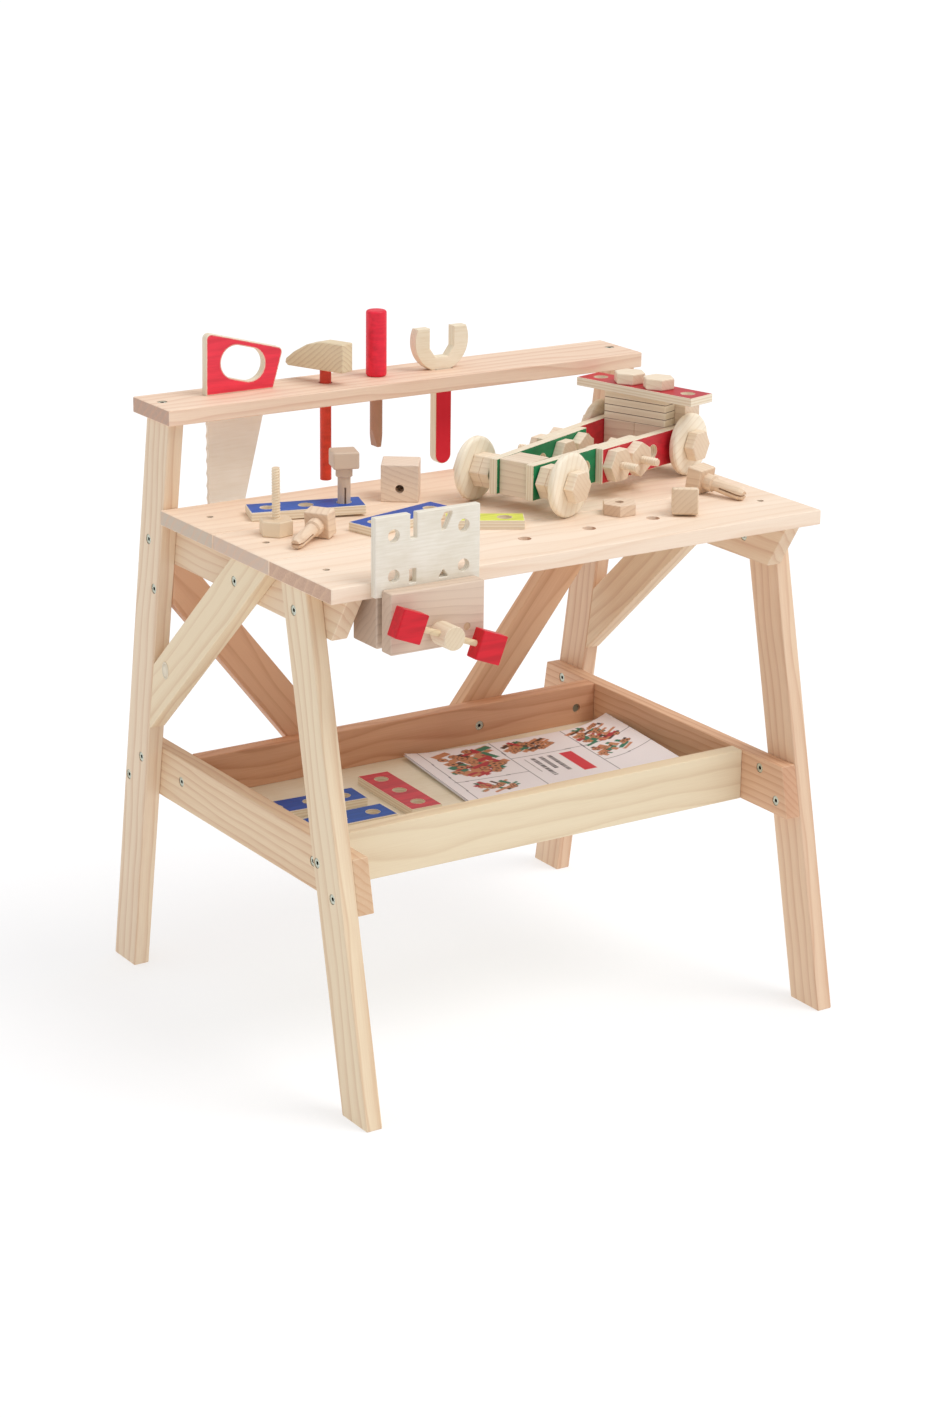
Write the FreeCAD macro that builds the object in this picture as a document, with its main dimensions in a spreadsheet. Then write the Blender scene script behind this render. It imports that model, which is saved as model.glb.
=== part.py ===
import FreeCAD, Part
import math
import os
import re
import Sketcher

Vector = FreeCAD.Vector
Rotation = FreeCAD.Rotation
Placement = FreeCAD.Placement

# Toy tool bench.  Frame: +X to the child's right, +Y to the back, +Z up, origin on the floor
# under the middle of the bench.  All lengths are millimetres.

DIMENSIONS = {
    # bench frame
    "stock": 18.7, "leg_width": 47.8, "frame_half": 301.5, "foot_half": 280.0,
    "rear_lean": 0.1662, "front_lean": 0.22, "edge_round": 1.4,
    "table_half": 305.0, "table_front": -217.5, "table_back": 138.8, "table_top": 556.1,
    "table_thick": 16.2, "seam_front": -95.0, "seam_rear": 22.4, "seam_gap": 0.9,
    "rack_front": 114.3, "rack_back": 196.7, "rack_top": 668.2, "rack_thick": 17.0,
    "rail_bottom": 490.6, "rail_overhang": 31.0, "rail_nose": -180.0,
    "tray_bottom": 214.6, "tray_rail": 57.2, "tray_front_face": -150.5, "tray_rear_face": 134.7,
    "floor_thick": 4.0, "floor_height": 7.6, "groove": 5.0, "groove_play": 0.2,
    "side_brace_slope": 0.9076, "side_brace_high": 529.9, "side_brace_low": 463.2,
    "back_brace_slope": 1.257, "back_brace_height": 124.3, "back_brace_half": 35.3,
    # fasteners
    "shank": 3.0, "bolt_head": 5.4, "head_thick": 4.0, "sunk": 0.7, "play": 0.2,
    "barrel": 5.0, "barrel_length": 14.0, "screw_head": 3.6, "screw_shank": 2.0,
    # vise
    "jaw_width": 109.2, "jaw_left": -253.4, "jaw_bottom": 487.0, "fixed_jaw_depth": 45.0,
    "moving_jaw_depth": 18.5, "moving_jaw_top": 550.2, "board_thick": 8.4, "jaw_play": 0.2,
    "screw_height": 504.6, "spindle": 6.0, "hub": 12.2, "hub_length": 26.0, "collar": 10.0,
    "collar_length": 4.6, "running": 0.06, "dowel": 3.25, "knob": 30.5, "knob_thick": 17.0,
    "knob_reach": 49.7, "guide_rod": 4.0, "guide_spread": 34.0,
    # building-set module
    "plank_thick": 9.5, "plank_width": 38.0, "plank_length": 123.0, "hole_pitch": 41.3,
    "plank_hole": 7.8, "cube": 38.0, "loose_cube": 41.0, "flats": 33.9, "hex_thick": 12.4, "stout_head": 16.5, "thread": 4.7,
    "peg_head": 28.0, "peg_head_thick": 18.4, "peg_collar": 9.0, "peg_collar_length": 11.0,
    "peg_shank": 6.9, "peg_length": 68.4, "peg_slot": 2.0, "peg_taper": 6.0, "wood_round": 0.9,
    "bolt_length": 70.9,
    # vehicle
    "wheel": 34.8, "wheel_thick": 9.5, "axle_height": 34.8, "wheelbase": 239.3,
    "car_pitch": 36.7, "car_overhang": 19.4, "car_half": 19.8, "car_plank": 9.6,
    "rear_block": 40.6, "spoiler_length": 163.0, "front_lateral": 60.8, "rear_lateral": 59.2,
    "car_bolt": 65.0, "car_floor": 15.4, "car_height": 38.8, "pale_thick": 8.2,
    # tools
    "tool_axis": 155.0, "hammer_grip": 6.3, "driver_grip": 11.5, "driver_shaft": 7.0,
    "wrench_ring": 35.0, "wrench_thick": 12.0, "wrench_jaw": 15.6, "slot_play": 1.2,
}

doc = FreeCAD.newDocument("tool_bench")
sheet = doc.addObject("Spreadsheet::Sheet", "Dims")
for row, (alias, number) in enumerate(DIMENSIONS.items(), start=1):
    sheet.set("A%d" % row, alias)
    sheet.set("B%d" % row, str(number))
    sheet.setAlias("B%d" % row, alias)
doc.recompute()

dim = type("Dimensions", (), DIMENSIONS)
LEG_TOP = dim.table_top - dim.table_thick
NODES = {}


# ---------------------------------------------------------------- helpers

def formula(text):
    """A size written with the sheet's words, as an expression that reads the sheet."""
    def word(match):
        name = match.group()
        return "Dims." + name if name in DIMENSIONS else name
    return re.sub(r"[a-z]+(?:_[a-z]+)*", word, str(text))


def node(label, item):
    """Names one sub-part of the bench."""
    item.Label = label
    NODES[label] = item
    return item


def place(item, x=0.0, y=0.0, z=0.0, turn=None):
    """Puts a sub-part in the bench's frame; x, y and z may be formulas."""
    item.Placement = Placement(Vector(0, 0, 0), turn or Rotation())
    for axis, text in zip("xyz", (x, y, z)):
        item.setExpression("Placement.Base." + axis, formula(text))
    return item


def new_sketch(body, name, plane):
    sketch = body.newObject("Sketcher::SketchObject", name)
    origin_plane = next(item for item in body.Origin.OriginFeatures if item.Role == plane)
    sketch.AttachmentSupport = [(origin_plane, "")]
    sketch.MapMode = "FlatFace"
    return sketch


def pin(sketch, geometry, vertex, across, up):
    """Ties one sketch point to the sheet."""
    for kind, text in (("DistanceX", across), ("DistanceY", up)):
        index = sketch.addConstraint(Sketcher.Constraint(kind, -1, 1, geometry, vertex, 1.0))
        sketch.setExpression("Constraints[%d]" % index, formula(text))


def draw_outline(sketch, corners):
    """A closed outline of straight runs through the corners."""
    count = len(corners)
    start = sketch.GeometryCount
    ring = []
    for number in range(count):
        angle = 2 * math.pi * number / count
        ring.append(Vector(100 * math.cos(angle), 100 * math.sin(angle), 0))
    for number in range(count):
        sketch.addGeometry(Part.LineSegment(ring[number], ring[(number + 1) % count]))
    for number in range(count):
        after = start + (number + 1) % count
        sketch.addConstraint(Sketcher.Constraint("Coincident", start + number, 2, after, 1))
    for number, (across, up) in enumerate(corners):
        pin(sketch, start + number, 1, across, up)


def draw_circle(sketch, across, up, radius):
    index = sketch.addGeometry(Part.Circle(Vector(1, 1, 0), Vector(0, 0, 1), 2))
    pin(sketch, index, 3, across, up)
    number = sketch.addConstraint(Sketcher.Constraint("Radius", index, 2))
    sketch.setExpression("Constraints[%d]" % number, formula(radius))


def pad(body, sketch, depth):
    feature = body.newObject("PartDesign::Pad", "Pad")
    feature.Profile = sketch
    feature.setExpression("Length", formula(depth))
    sketch.Visibility = False
    doc.recompute()
    return feature


def round_edges(body, radius, wanted):
    """Rounds those edges of the body's last feature that the test picks."""
    base = body.Tip
    names = []
    for number, edge in enumerate(base.Shape.Edges, start=1):
        if wanted(edge):
            names.append("Edge%d" % number)
    feature = body.newObject("PartDesign::Fillet", "Round")
    feature.Base = (base, names)
    feature.setExpression("Radius", formula(radius))
    doc.recompute()
    return feature


def is_line(edge):
    return edge.Curve.TypeId == "Part::GeomLine"


def along(axis):
    """Picks straight edges that run along one local axis (0, 1 or 2)."""
    def test(edge):
        if not is_line(edge):
            return False
        run = edge.Vertexes[-1].Point - edge.Vertexes[0].Point
        return abs(run[axis]) > 0.999 * run.Length
    return test


def plate(name, plane, corners, depth, holes=(), soften="edge_round", windows=()):
    """A flat board: an outline with round holes and windows, padded, with eased edges."""
    body = doc.addObject("PartDesign::Body", name)
    sketch = new_sketch(body, "Outline", plane)
    for ring in (corners, *windows):
        draw_outline(sketch, ring)
    for across, up, radius in holes:
        draw_circle(sketch, across, up, radius)
    pad(body, sketch, depth)
    if soften:
        round_edges(body, soften, is_line)
    return body


def block(name, length, width, height, soften="edge_round"):
    """A rectangular piece of wood, its corner at its own origin."""
    corners = [("0", "0"), (length, "0"), (length, width), ("0", width)]
    return plate(name, "XY_Plane", corners, height, soften=soften)


def turned(name, profile, soften=None):
    """A turned piece about its own Z axis; the profile is (radius, height) pairs."""
    body = doc.addObject("PartDesign::Body", name)
    sketch = new_sketch(body, "Profile", "XZ_Plane")
    draw_outline(sketch, profile)
    feature = body.newObject("PartDesign::Revolution", "Turn")
    feature.Profile = sketch
    feature.ReferenceAxis = (sketch, ["V_Axis"])
    feature.Angle = 360
    sketch.Visibility = False
    doc.recompute()
    if soften:
        round_edges(body, soften, lambda edge: edge.Curve.TypeId == "Part::GeomCircle")
    return body


def hexagon(name, depth, hole=None, soften="wood_round"):
    """A hexagonal head or nut along its own Z axis, two corners on its X axis."""
    corners = []
    for number in range(6):
        angle = math.radians(60 * number)
        reach = 1 / math.sqrt(3)
        corners.append(("flats * %.6f" % (reach * math.cos(angle)),
                        "flats * %.6f" % (reach * math.sin(angle))))
    holes = [("0", "0", hole)] if hole else []
    return plate(name, "XY_Plane", corners, depth, holes, soften)


def rod(name, radius, length, x=None, y=0.0, z=0.0, turn=None):
    """A plain round rod from (x, y, z), along its own Z axis turned as told."""
    item = doc.addObject("Part::Cylinder", name)
    item.setExpression("Radius", formula(radius))
    item.setExpression("Height", formula(length))
    return item if x is None else place(item, x, y, z, turn)


def bar(name, length, width, height, x, y=0.0, z=0.0, turn=None):
    """A plain square bar, its corner at (x, y, z)."""
    item = doc.addObject("Part::Box", name)
    item.setExpression("Length", formula(length))
    item.setExpression("Width", formula(width))
    item.setExpression("Height", formula(height))
    return place(item, x, y, z, turn)


def join(name, pieces):
    item = doc.addObject("Part::MultiFuse", name)
    item.Shapes = pieces
    doc.recompute()
    return item


def cut(name, base, tools):
    """The base with every tool taken out of it."""
    item = doc.addObject("Part::Cut", name)
    item.Base = base
    item.Tool = tools[0] if len(tools) == 1 else join(name + "_tools", tools)
    doc.recompute()
    return item


def group(label, pieces):
    """Separate solids that share one node."""
    item = doc.addObject("Part::Compound", label)
    item.Links = pieces
    doc.recompute()
    return node(label, item)


def moved(master, name, placement):
    """A linked copy of a piece at another place."""
    item = doc.addObject("App::Link", name)
    item.LinkedObject = master
    item.LinkTransform = False
    item.Placement = placement
    return item


TURN_X = Rotation(Vector(0, 1, 0), 90)
TURN_BACK = Rotation(Vector(1, 0, 0), -90)
TURN_FRONT = Rotation(Vector(1, 0, 0), 90)


def spin(degrees):
    return Rotation(Vector(0, 0, 1), degrees)


# ---------------------------------------------------------------- fasteners of the frame

def stepped_profile(length, head, shank, ends):
    """Half profile of a connector bolt: a shank with a head at one or both ends."""
    profile = [("0", "0"), (head, "0"), (head, "head_thick"), (shank, "head_thick")]
    if ends == 2:
        profile += [(shank, "%s - head_thick" % length), (head, "%s - head_thick" % length),
                    (head, length), ("0", length)]
    else:
        profile += [(shank, length), ("0", length)]
    return profile


def socketed(name, body, ends, length):
    """Cuts a hexagonal key socket into each head."""
    tools = []
    depth = 2.6
    for number in range(ends):
        socket = doc.addObject("Part::Prism", "%s_socket_%d" % (name, number))
        socket.Polygon = 6
        socket.Circumradius = 2.3
        socket.Height = depth + 1
        level = -1 if number == 0 else length - depth
        socket.Placement = Placement(Vector(0, 0, level), Rotation())
        tools.append(socket)
    return cut(name, body, tools)


CONNECTOR = "2 * stock - 2 * sunk"
END_BOLT = "2.4 * stock"
RACK_BOLT = "2.8 * stock"

connector = socketed("connector", turned(
    "connector_blank", stepped_profile(CONNECTOR, "bolt_head", "shank", 2)),
    2, 2 * dim.stock - 2 * dim.sunk)
end_bolt = socketed("end_bolt", turned(
    "end_bolt_blank", stepped_profile(END_BOLT, "bolt_head", "shank", 1)), 1, 0)
rack_bolt = socketed("rack_bolt", turned(
    "rack_bolt_blank", stepped_profile(RACK_BOLT, "bolt_head", "shank", 1)), 1, 0)
barrel_nut = cut("barrel_nut", rod("barrel_blank", "barrel", "barrel_length"),
                 [rod("barrel_cross", "shank + play", "4 * barrel", "-2 * barrel", "0",
                      "barrel_length / 2", TURN_X)])
table_screw = turned("table_screw", [
    ("0", "0"), ("screw_shank", "0"), ("screw_shank", "32"), ("screw_head", "35"), ("0", "35")])


def stepped_hole(name, length, ends):
    """The clearance hole of a bolt, with its counterbores, open past both faces."""
    profile = [("0", "-2"), ("bolt_head + play", "-2"),
               ("bolt_head + play", "head_thick + sunk"),
               ("shank + play", "head_thick + sunk")]
    if ends == 2:
        profile += [("shank + play", "%s - head_thick - sunk" % length),
                    ("bolt_head + play", "%s - head_thick - sunk" % length),
                    ("bolt_head + play", "%s + 2" % length), ("0", "%s + 2" % length)]
    else:
        profile += [("shank + play", "%s + sunk + 1" % length), ("0", "%s + sunk + 1" % length)]
    return turned(name, profile)


connector_hole = stepped_hole("connector_hole", "2 * stock", 2)
end_hole = stepped_hole("end_hole", END_BOLT, 1)
rack_hole = stepped_hole("rack_hole", RACK_BOLT, 1)
screw_hole = turned("screw_hole", [
    ("0", "-1"), ("screw_shank + play", "-1"), ("screw_shank + play", "32"),
    ("screw_head + play", "35"), ("screw_head + play", "40"), ("0", "40")])

# Places of the connector bolts on a side, as (y, z), and what they pass through.
SIDE_BOLTS = {
    "leg_rear": [(174.0, 516.0), (202.5, 260.5), (233.7, 230.6)],
    "leg_front": [(-137.4, 514.6), (-181.7, 259.8), (-212.0, 230.6)],
    "side_brace": [(-15.2, 514.9)],
}
TRAY_BOLT_Z = 245.0
TRAY_END_BOLTS = {"tray_rear": 144.0, "tray_front": -141.2}
BARREL_X = 238.6
BACK_BOLT_X = 102.0
BACK_BOLT_Z = 246.7
BRACE_END_BOLT = (164.0, 463.0)
BRACE_BARREL_X = 257.0
RACK_BOLT_X = 290.0
RACK_BOLT_Y = 158.0

bolts = []
holes = {}


def add_bolt(master, hole_master, placement, members):
    """One bolt, and its hole in every member that it passes."""
    serial = len(bolts)
    bolts.append(moved(master, "bolt_%d" % serial, placement["bolt"]))
    for member in members:
        tool = moved(hole_master, "hole_%d_%s" % (serial, member), placement["hole"])
        holes.setdefault(member, []).append(tool)


def sunk_places(face, turn):
    """The bolt starts just under the face that its hole starts at."""
    inward = turn.multVec(Vector(0, 0, 1))
    return {"hole": Placement(face, turn), "bolt": Placement(face + inward * dim.sunk, turn)}


def side_turn(side):
    """Points a bolt inward from the outer face of a side: -1 left, 1 right."""
    return Rotation(Vector(0, 1, 0), 90 if side < 0 else -90)


SIDES = (("left", -1), ("right", 1))
for side_name, side in SIDES:
    outer = side * dim.frame_half
    inner = side * (dim.frame_half - dim.stock)
    for member, spots in SIDE_BOLTS.items():
        for across, height in spots:
            rail = "top_rail" if height > 400 else "tray_side"
            add_bolt(connector, connector_hole,
                     sunk_places(Vector(outer, across, height), side_turn(side)),
                     ["%s_%s" % (member, side_name), "%s_%s" % (rail, side_name)])
    for member, across in TRAY_END_BOLTS.items():
        add_bolt(end_bolt, end_hole,
                 sunk_places(Vector(inner, across, TRAY_BOLT_Z), side_turn(side)),
                 ["tray_side_" + side_name, member])
    add_bolt(end_bolt, end_hole,
             sunk_places(Vector(outer, *BRACE_END_BOLT), side_turn(side)),
             ["leg_rear_" + side_name, "back_brace_" + side_name])
    add_bolt(connector, connector_hole,
             sunk_places(Vector(side * BACK_BOLT_X, dim.tray_rear_face, BACK_BOLT_Z), TURN_BACK),
             ["tray_rear", "back_brace_" + side_name])
    add_bolt(rack_bolt, rack_hole,
             sunk_places(Vector(side * RACK_BOLT_X, RACK_BOLT_Y, dim.rack_top),
                         Rotation(Vector(1, 0, 0), 180)),
             ["rack_board", "leg_rear_" + side_name])

barrels = []


def add_barrel(member, x, y, z, turn):
    """A barrel nut centred on its bolt, and the blind hole that it sits in."""
    serial = len(barrels)
    y -= turn.multVec(Vector(0, 0, 1)).y * dim.barrel_length / 2
    barrels.append(moved(barrel_nut, "barrel_%d" % serial, Placement(Vector(x, y, z), turn)))
    outward = turn.multVec(Vector(0, 0, -1)) * 10
    start = Vector(x, y, z) + outward
    pocket = rod("barrel_hole_%d" % serial, "barrel + play", "barrel_length + 10.2",
                 start.x, start.y, start.z, turn)
    holes.setdefault(member, []).append(pocket)


for side_name, side in SIDES:
    add_barrel("tray_rear", side * BARREL_X, TRAY_END_BOLTS["tray_rear"], TRAY_BOLT_Z, TURN_BACK)
    add_barrel("tray_front", side * BARREL_X, TRAY_END_BOLTS["tray_front"], TRAY_BOLT_Z,
               TURN_FRONT)
    add_barrel("back_brace_" + side_name, side * BRACE_BARREL_X, *BRACE_END_BOLT, TURN_FRONT)
group("frame_bolts", bolts)
group("barrel_nuts", barrels)


def bored(label, base):
    """Names a frame member once all its bolt holes are drilled."""
    return node(label, cut(label, base, holes[label]) if label in holes else base)


# ---------------------------------------------------------------- legs, rails and braces

def slanted(foot, lean, height):
    return "%s + %s * (%s)" % (foot, lean, height)


def leg_corners(front, back, lean, top):
    return [(front, "0"), (back, "0"), (slanted(back, lean, top), top),
            (slanted(front, lean, top), top)]


REAR_WIDTH = dim.leg_width * math.hypot(1, dim.rear_lean)
FRONT_WIDTH = dim.leg_width * math.hypot(1, dim.front_lean)
REAR_FRONT = "foot_half - %.3f" % REAR_WIDTH
FRONT_BACK = "%.3f - foot_half" % FRONT_WIDTH
TRAY_TOP = "tray_bottom + tray_rail"
UNDER_TABLE = "table_top - table_thick"
UNDER_RACK = "rack_top - rack_thick"


def side_x(side, layer):
    """Low x of a side member: layer 0 is the legs, layer 1 the rails behind them."""
    return ("-frame_half + %d * stock" % layer) if side < 0 else (
        "frame_half - %d * stock" % (layer + 1))


def side_brace_corners():
    """Both long edges end on the rear leg's front edge and under the table."""
    corners = []
    lean = dim.rear_lean
    slope = dim.side_brace_slope
    for level in (dim.side_brace_high, dim.side_brace_low):
        foot = dim.foot_half - REAR_WIDTH - 0.1
        height = (level - slope * foot) / (1 - slope * lean)
        corners.append((foot - lean * height, height))
        corners.append(((level - LEG_TOP) / slope, LEG_TOP))
    high_low, high_top, low_low, low_top = corners
    return [high_low, high_top, low_top, low_low]


def back_brace_corners(side):
    """A board that leans out from the tray's rear rail to the rear leg."""
    mid = dim.back_brace_height
    slope = dim.back_brace_slope
    half = dim.back_brace_half
    wall = dim.frame_half - dim.stock - 0.1
    top = dim.rail_bottom - 0.3
    foot = dim.tray_bottom + 1.0
    points = [((foot - mid + half) / slope, foot), (wall, mid - half + slope * wall), (wall, top),
              ((top - mid - half) / slope, top), ((foot - mid - half) / slope, foot)]
    return [(side * x, z) for x, z in points]


for side_name, side in SIDES:
    leg = plate("rear_leg_" + side_name, "YZ_Plane",
                leg_corners(REAR_FRONT, "foot_half", "-rear_lean", UNDER_RACK), "stock")
    bored("leg_rear_" + side_name, place(leg, side_x(side, 0)))
    leg = plate("front_leg_" + side_name, "YZ_Plane",
                leg_corners("-foot_half", FRONT_BACK, "front_lean", UNDER_TABLE), "stock")
    bored("leg_front_" + side_name, place(leg, side_x(side, 0)))
    rail = plate("upper_rail_" + side_name, "YZ_Plane", [
        ("rail_nose", "rail_bottom"),
        (slanted("foot_half", "-rear_lean", "rail_bottom"), "rail_bottom"),
        (slanted("foot_half", "-rear_lean", UNDER_TABLE), UNDER_TABLE),
        ("rail_nose - rail_overhang", UNDER_TABLE)], "stock")
    bar_screws = [moved(screw_hole, "screw_hole_%s_%d" % (side_name, number),
                        Placement(Vector(side * 272.6, y, dim.table_top - 36.6), Rotation()))
                  for number, y in enumerate((88.0, -32.0, -153.0))]
    holes["top_rail_" + side_name] += bar_screws
    bored("top_rail_" + side_name, place(rail, side_x(side, 1)))
    rail = plate("lower_rail_" + side_name, "YZ_Plane", [
        (slanted("-foot_half", "front_lean", "tray_bottom"), "tray_bottom"),
        (slanted("foot_half", "-rear_lean", "tray_bottom"), "tray_bottom"),
        (slanted("foot_half", "-rear_lean", TRAY_TOP), TRAY_TOP),
        (slanted("-foot_half", "front_lean", TRAY_TOP), TRAY_TOP)], "stock")
    inner_face = side * (dim.frame_half - 2 * dim.stock)
    groove_low = min(inner_face, inner_face + side * dim.groove)
    holes["tray_side_" + side_name].append(bar(
        "side_groove_" + side_name, "groove",
        "tray_rear_face - tray_front_face - stock + 2 * groove", "floor_thick + 2 * groove_play",
        groove_low, "tray_front_face + stock - groove",
        "tray_bottom + floor_height - groove_play"))
    bored("tray_side_" + side_name, place(rail, side_x(side, 1)))
    brace = plate("leg_brace_" + side_name, "YZ_Plane", side_brace_corners(), "stock")
    bored("side_brace_" + side_name, place(brace, side_x(side, 0)))
    brace = plate("rear_brace_" + side_name, "XZ_Plane", back_brace_corners(side), "stock")
    bored("back_brace_" + side_name, place(brace, "0", "tray_rear_face + 2 * stock"))

INSIDE = "2 * frame_half - 4 * stock"
for label, face, groove_y in (("tray_front", "tray_front_face", "tray_front_face + stock - groove"),
                              ("tray_rear", "tray_rear_face", "tray_rear_face")):
    rail = place(block(label + "_board", INSIDE, "stock", "tray_rail"),
                 "-frame_half + 2 * stock", face, "tray_bottom")
    holes[label].append(bar(label + "_groove", INSIDE, "groove",
                            "floor_thick + 2 * groove_play", "-frame_half + 2 * stock", groove_y,
                            "tray_bottom + floor_height - groove_play"))
    bored(label, rail)

node("tray_bottom", place(
    block("tray_panel", INSIDE + " + 2 * groove - 2 * groove_play",
          "tray_rear_face - tray_front_face - stock + 2 * groove - 2 * groove_play",
          "floor_thick", soften=None),
    "-frame_half + 2 * stock - groove + groove_play",
    "tray_front_face + stock - groove + groove_play", "tray_bottom + floor_height"))

# ---------------------------------------------------------------- table top and tool rack

PEG_HOLE_X = (-118.5, -36.0, 45.5, 128.0)
PEG_HOLE_Y = -154.0
TABLE_BOARDS = {
    "table_board_front": ("table_front", "seam_front", -153.0),
    "table_board_middle": ("seam_front + seam_gap", "seam_rear", -32.0),
    "table_board_rear": ("seam_rear + seam_gap", "table_back", 88.0),
}
screws = []
for label, (front, back, screw_y) in TABLE_BOARDS.items():
    board = place(block(label + "_blank", "2 * table_half", "%s - (%s)" % (back, front),
                        "table_thick"), "-table_half", front, UNDER_TABLE)
    tools = []
    for side in (-1, 1):
        spot = Placement(Vector(side * 272.6, screw_y, dim.table_top - 36.6), Rotation())
        tools.append(moved(screw_hole, "%s_screw_%d" % (label, side + 1), spot))
        screws.append(moved(table_screw, "screw_%d" % len(screws), spot))
    if label == "table_board_front":
        tools += [rod("peg_hole_%d" % number, "peg_shank + 0.4", "2 * table_thick", x, PEG_HOLE_Y,
                      LEG_TOP - dim.table_thick / 2) for number, x in enumerate(PEG_HOLE_X)]
    node(label, cut(label, board, tools))
group("table_screws", screws)

SAW_SLOT = (-236.0, -164.0, 163.0, 5.0)
HAMMER_X = -91.5
DRIVER_X = -25.0
DRIVER_Y = 158.0
WRENCH_X = 58.4
WRENCH_HALF = 10.4
rack = place(block("rack_blank", "2 * table_half", "rack_back - rack_front", "rack_thick"),
             "-table_half", "rack_front", UNDER_RACK)
rack_tools = holes.pop("rack_board")
rack_tools.append(bar("saw_slot", SAW_SLOT[1] - SAW_SLOT[0] + 2.4, "%s + 2 * slot_play" % SAW_SLOT[3],
                      "2 * rack_thick", SAW_SLOT[0] - 1.2,
                      "%s - slot_play" % (SAW_SLOT[2] - SAW_SLOT[3] / 2),
                      "rack_top - 1.5 * rack_thick"))
rack_tools.append(bar("wrench_slot", "%s + 2 * slot_play" % (2 * WRENCH_HALF),
                      "wrench_thick + 2 * slot_play", "2 * rack_thick",
                      "%s - slot_play" % (WRENCH_X - WRENCH_HALF), "150 - slot_play",
                      "rack_top - 1.5 * rack_thick"))
rack_tools.append(rod("hammer_hole", "hammer_grip + slot_play", "2 * rack_thick", HAMMER_X,
                      "tool_axis", "rack_top - 1.5 * rack_thick"))
rack_tools.append(rod("driver_hole", "driver_shaft + slot_play", "2 * rack_thick", DRIVER_X,
                      DRIVER_Y, "rack_top - 1.5 * rack_thick"))
node("rack_board", cut("rack_board", rack, rack_tools))


# ---------------------------------------------------------------- vise and template board

SCREW_X = -198.8
HUB_FRONT = "table_front - board_thick - 2 * jaw_play - moving_jaw_depth - collar_length - hub_length"
MOVING_FACE = "table_front - board_thick - 2 * jaw_play"
ROD_X = (SCREW_X - dim.guide_spread, SCREW_X + dim.guide_spread)
THROUGH = "fixed_jaw_depth + moving_jaw_depth + 60"


def jaw(label, depth, height, front):
    """A vise jaw, bored for the spindle and its two guide rods."""
    base = place(block(label + "_blank", "jaw_width", depth, height, "edge_round + 0.6"),
                 "jaw_left", front, "jaw_bottom")
    tools = [rod(label + "_screw_bore", "spindle + running", THROUGH, SCREW_X,
                 "table_front - 60", "screw_height", TURN_BACK)]
    for number, x in enumerate(ROD_X):
        tools.append(rod("%s_rod_bore_%d" % (label, number), "guide_rod + running", THROUGH, x,
                         "table_front - 60", "screw_height", TURN_BACK))
    return node(label, cut(label, base, tools))


jaw("vise_fixed_jaw", "fixed_jaw_depth", UNDER_TABLE + " - jaw_bottom", "table_front")
jaw("vise_moving_jaw", "moving_jaw_depth", "moving_jaw_top - jaw_bottom",
    MOVING_FACE + " - moving_jaw_depth")
group("vise_guide_rods", [
    rod("guide_rod_%d" % number, "guide_rod", "moving_jaw_depth + fixed_jaw_depth + 30", x,
        MOVING_FACE + " - moving_jaw_depth + 0.5", "screw_height", TURN_BACK)
    for number, x in enumerate(ROD_X)])

KNOB_TURN = Rotation(Vector(0, 1, 0), 21.1)
DOWEL_DEPTH = "hub_length * 0.47"
spindle = turned("spindle_blank", [
    ("0", "0"), ("hub", "0"), ("hub", "hub_length"), ("collar", "hub_length"),
    ("collar", "hub_length + collar_length"), ("spindle", "hub_length + collar_length"),
    ("spindle", "hub_length + collar_length + fixed_jaw_depth + moving_jaw_depth + 22"),
    ("0", "hub_length + collar_length + fixed_jaw_depth + moving_jaw_depth + 22")])
round_edges(spindle, "wood_round", lambda edge: edge.Curve.TypeId == "Part::GeomCircle"
            and abs(edge.Curve.Radius - dim.hub) < 0.1)
place(spindle, SCREW_X, HUB_FRONT + " - 0.2", "screw_height", TURN_BACK)


def along_dowel(distance):
    """Start of a rod on the tilted cross dowel, at a distance from the screw's axis."""
    run = KNOB_TURN.multVec(Vector(distance, 0, 0))
    return (SCREW_X + run.x, HUB_FRONT + " + " + DOWEL_DEPTH,
            "screw_height + %.4f" % run.z)


dowel_turn = KNOB_TURN * TURN_X
dowel_half = dim.knob_reach + dim.knob / 2 - 5
node("vise_screw", cut("vise_screw", spindle, [
    rod("dowel_bore", "dowel + running", 80, *along_dowel(-40), dowel_turn)]))
node("vise_cross_dowel", rod("vise_cross_dowel", "dowel", 2 * dowel_half,
                             *along_dowel(-dowel_half), dowel_turn))
knobs = []
for number, side in enumerate((-1, 1)):
    start = along_dowel(side * dim.knob_reach)
    base = block("knob_blank_%d" % number, "knob", "knob_thick", "knob", "edge_round")
    corner = KNOB_TURN.multVec(Vector(side * dim.knob_reach - dim.knob / 2, 0, -dim.knob / 2))
    place(base, SCREW_X + corner.x, HUB_FRONT + " + " + DOWEL_DEPTH + " - knob_thick / 2",
          "screw_height + %.4f" % corner.z, KNOB_TURN)
    bore = rod("knob_bore_%d" % number, "dowel + running", 2 * dowel_half + 0.4,
               *along_dowel(-dowel_half - 0.2), dowel_turn)
    knobs.append(cut("knob_%d" % number, base, [bore]))
group("vise_knob_blocks", knobs)

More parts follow.
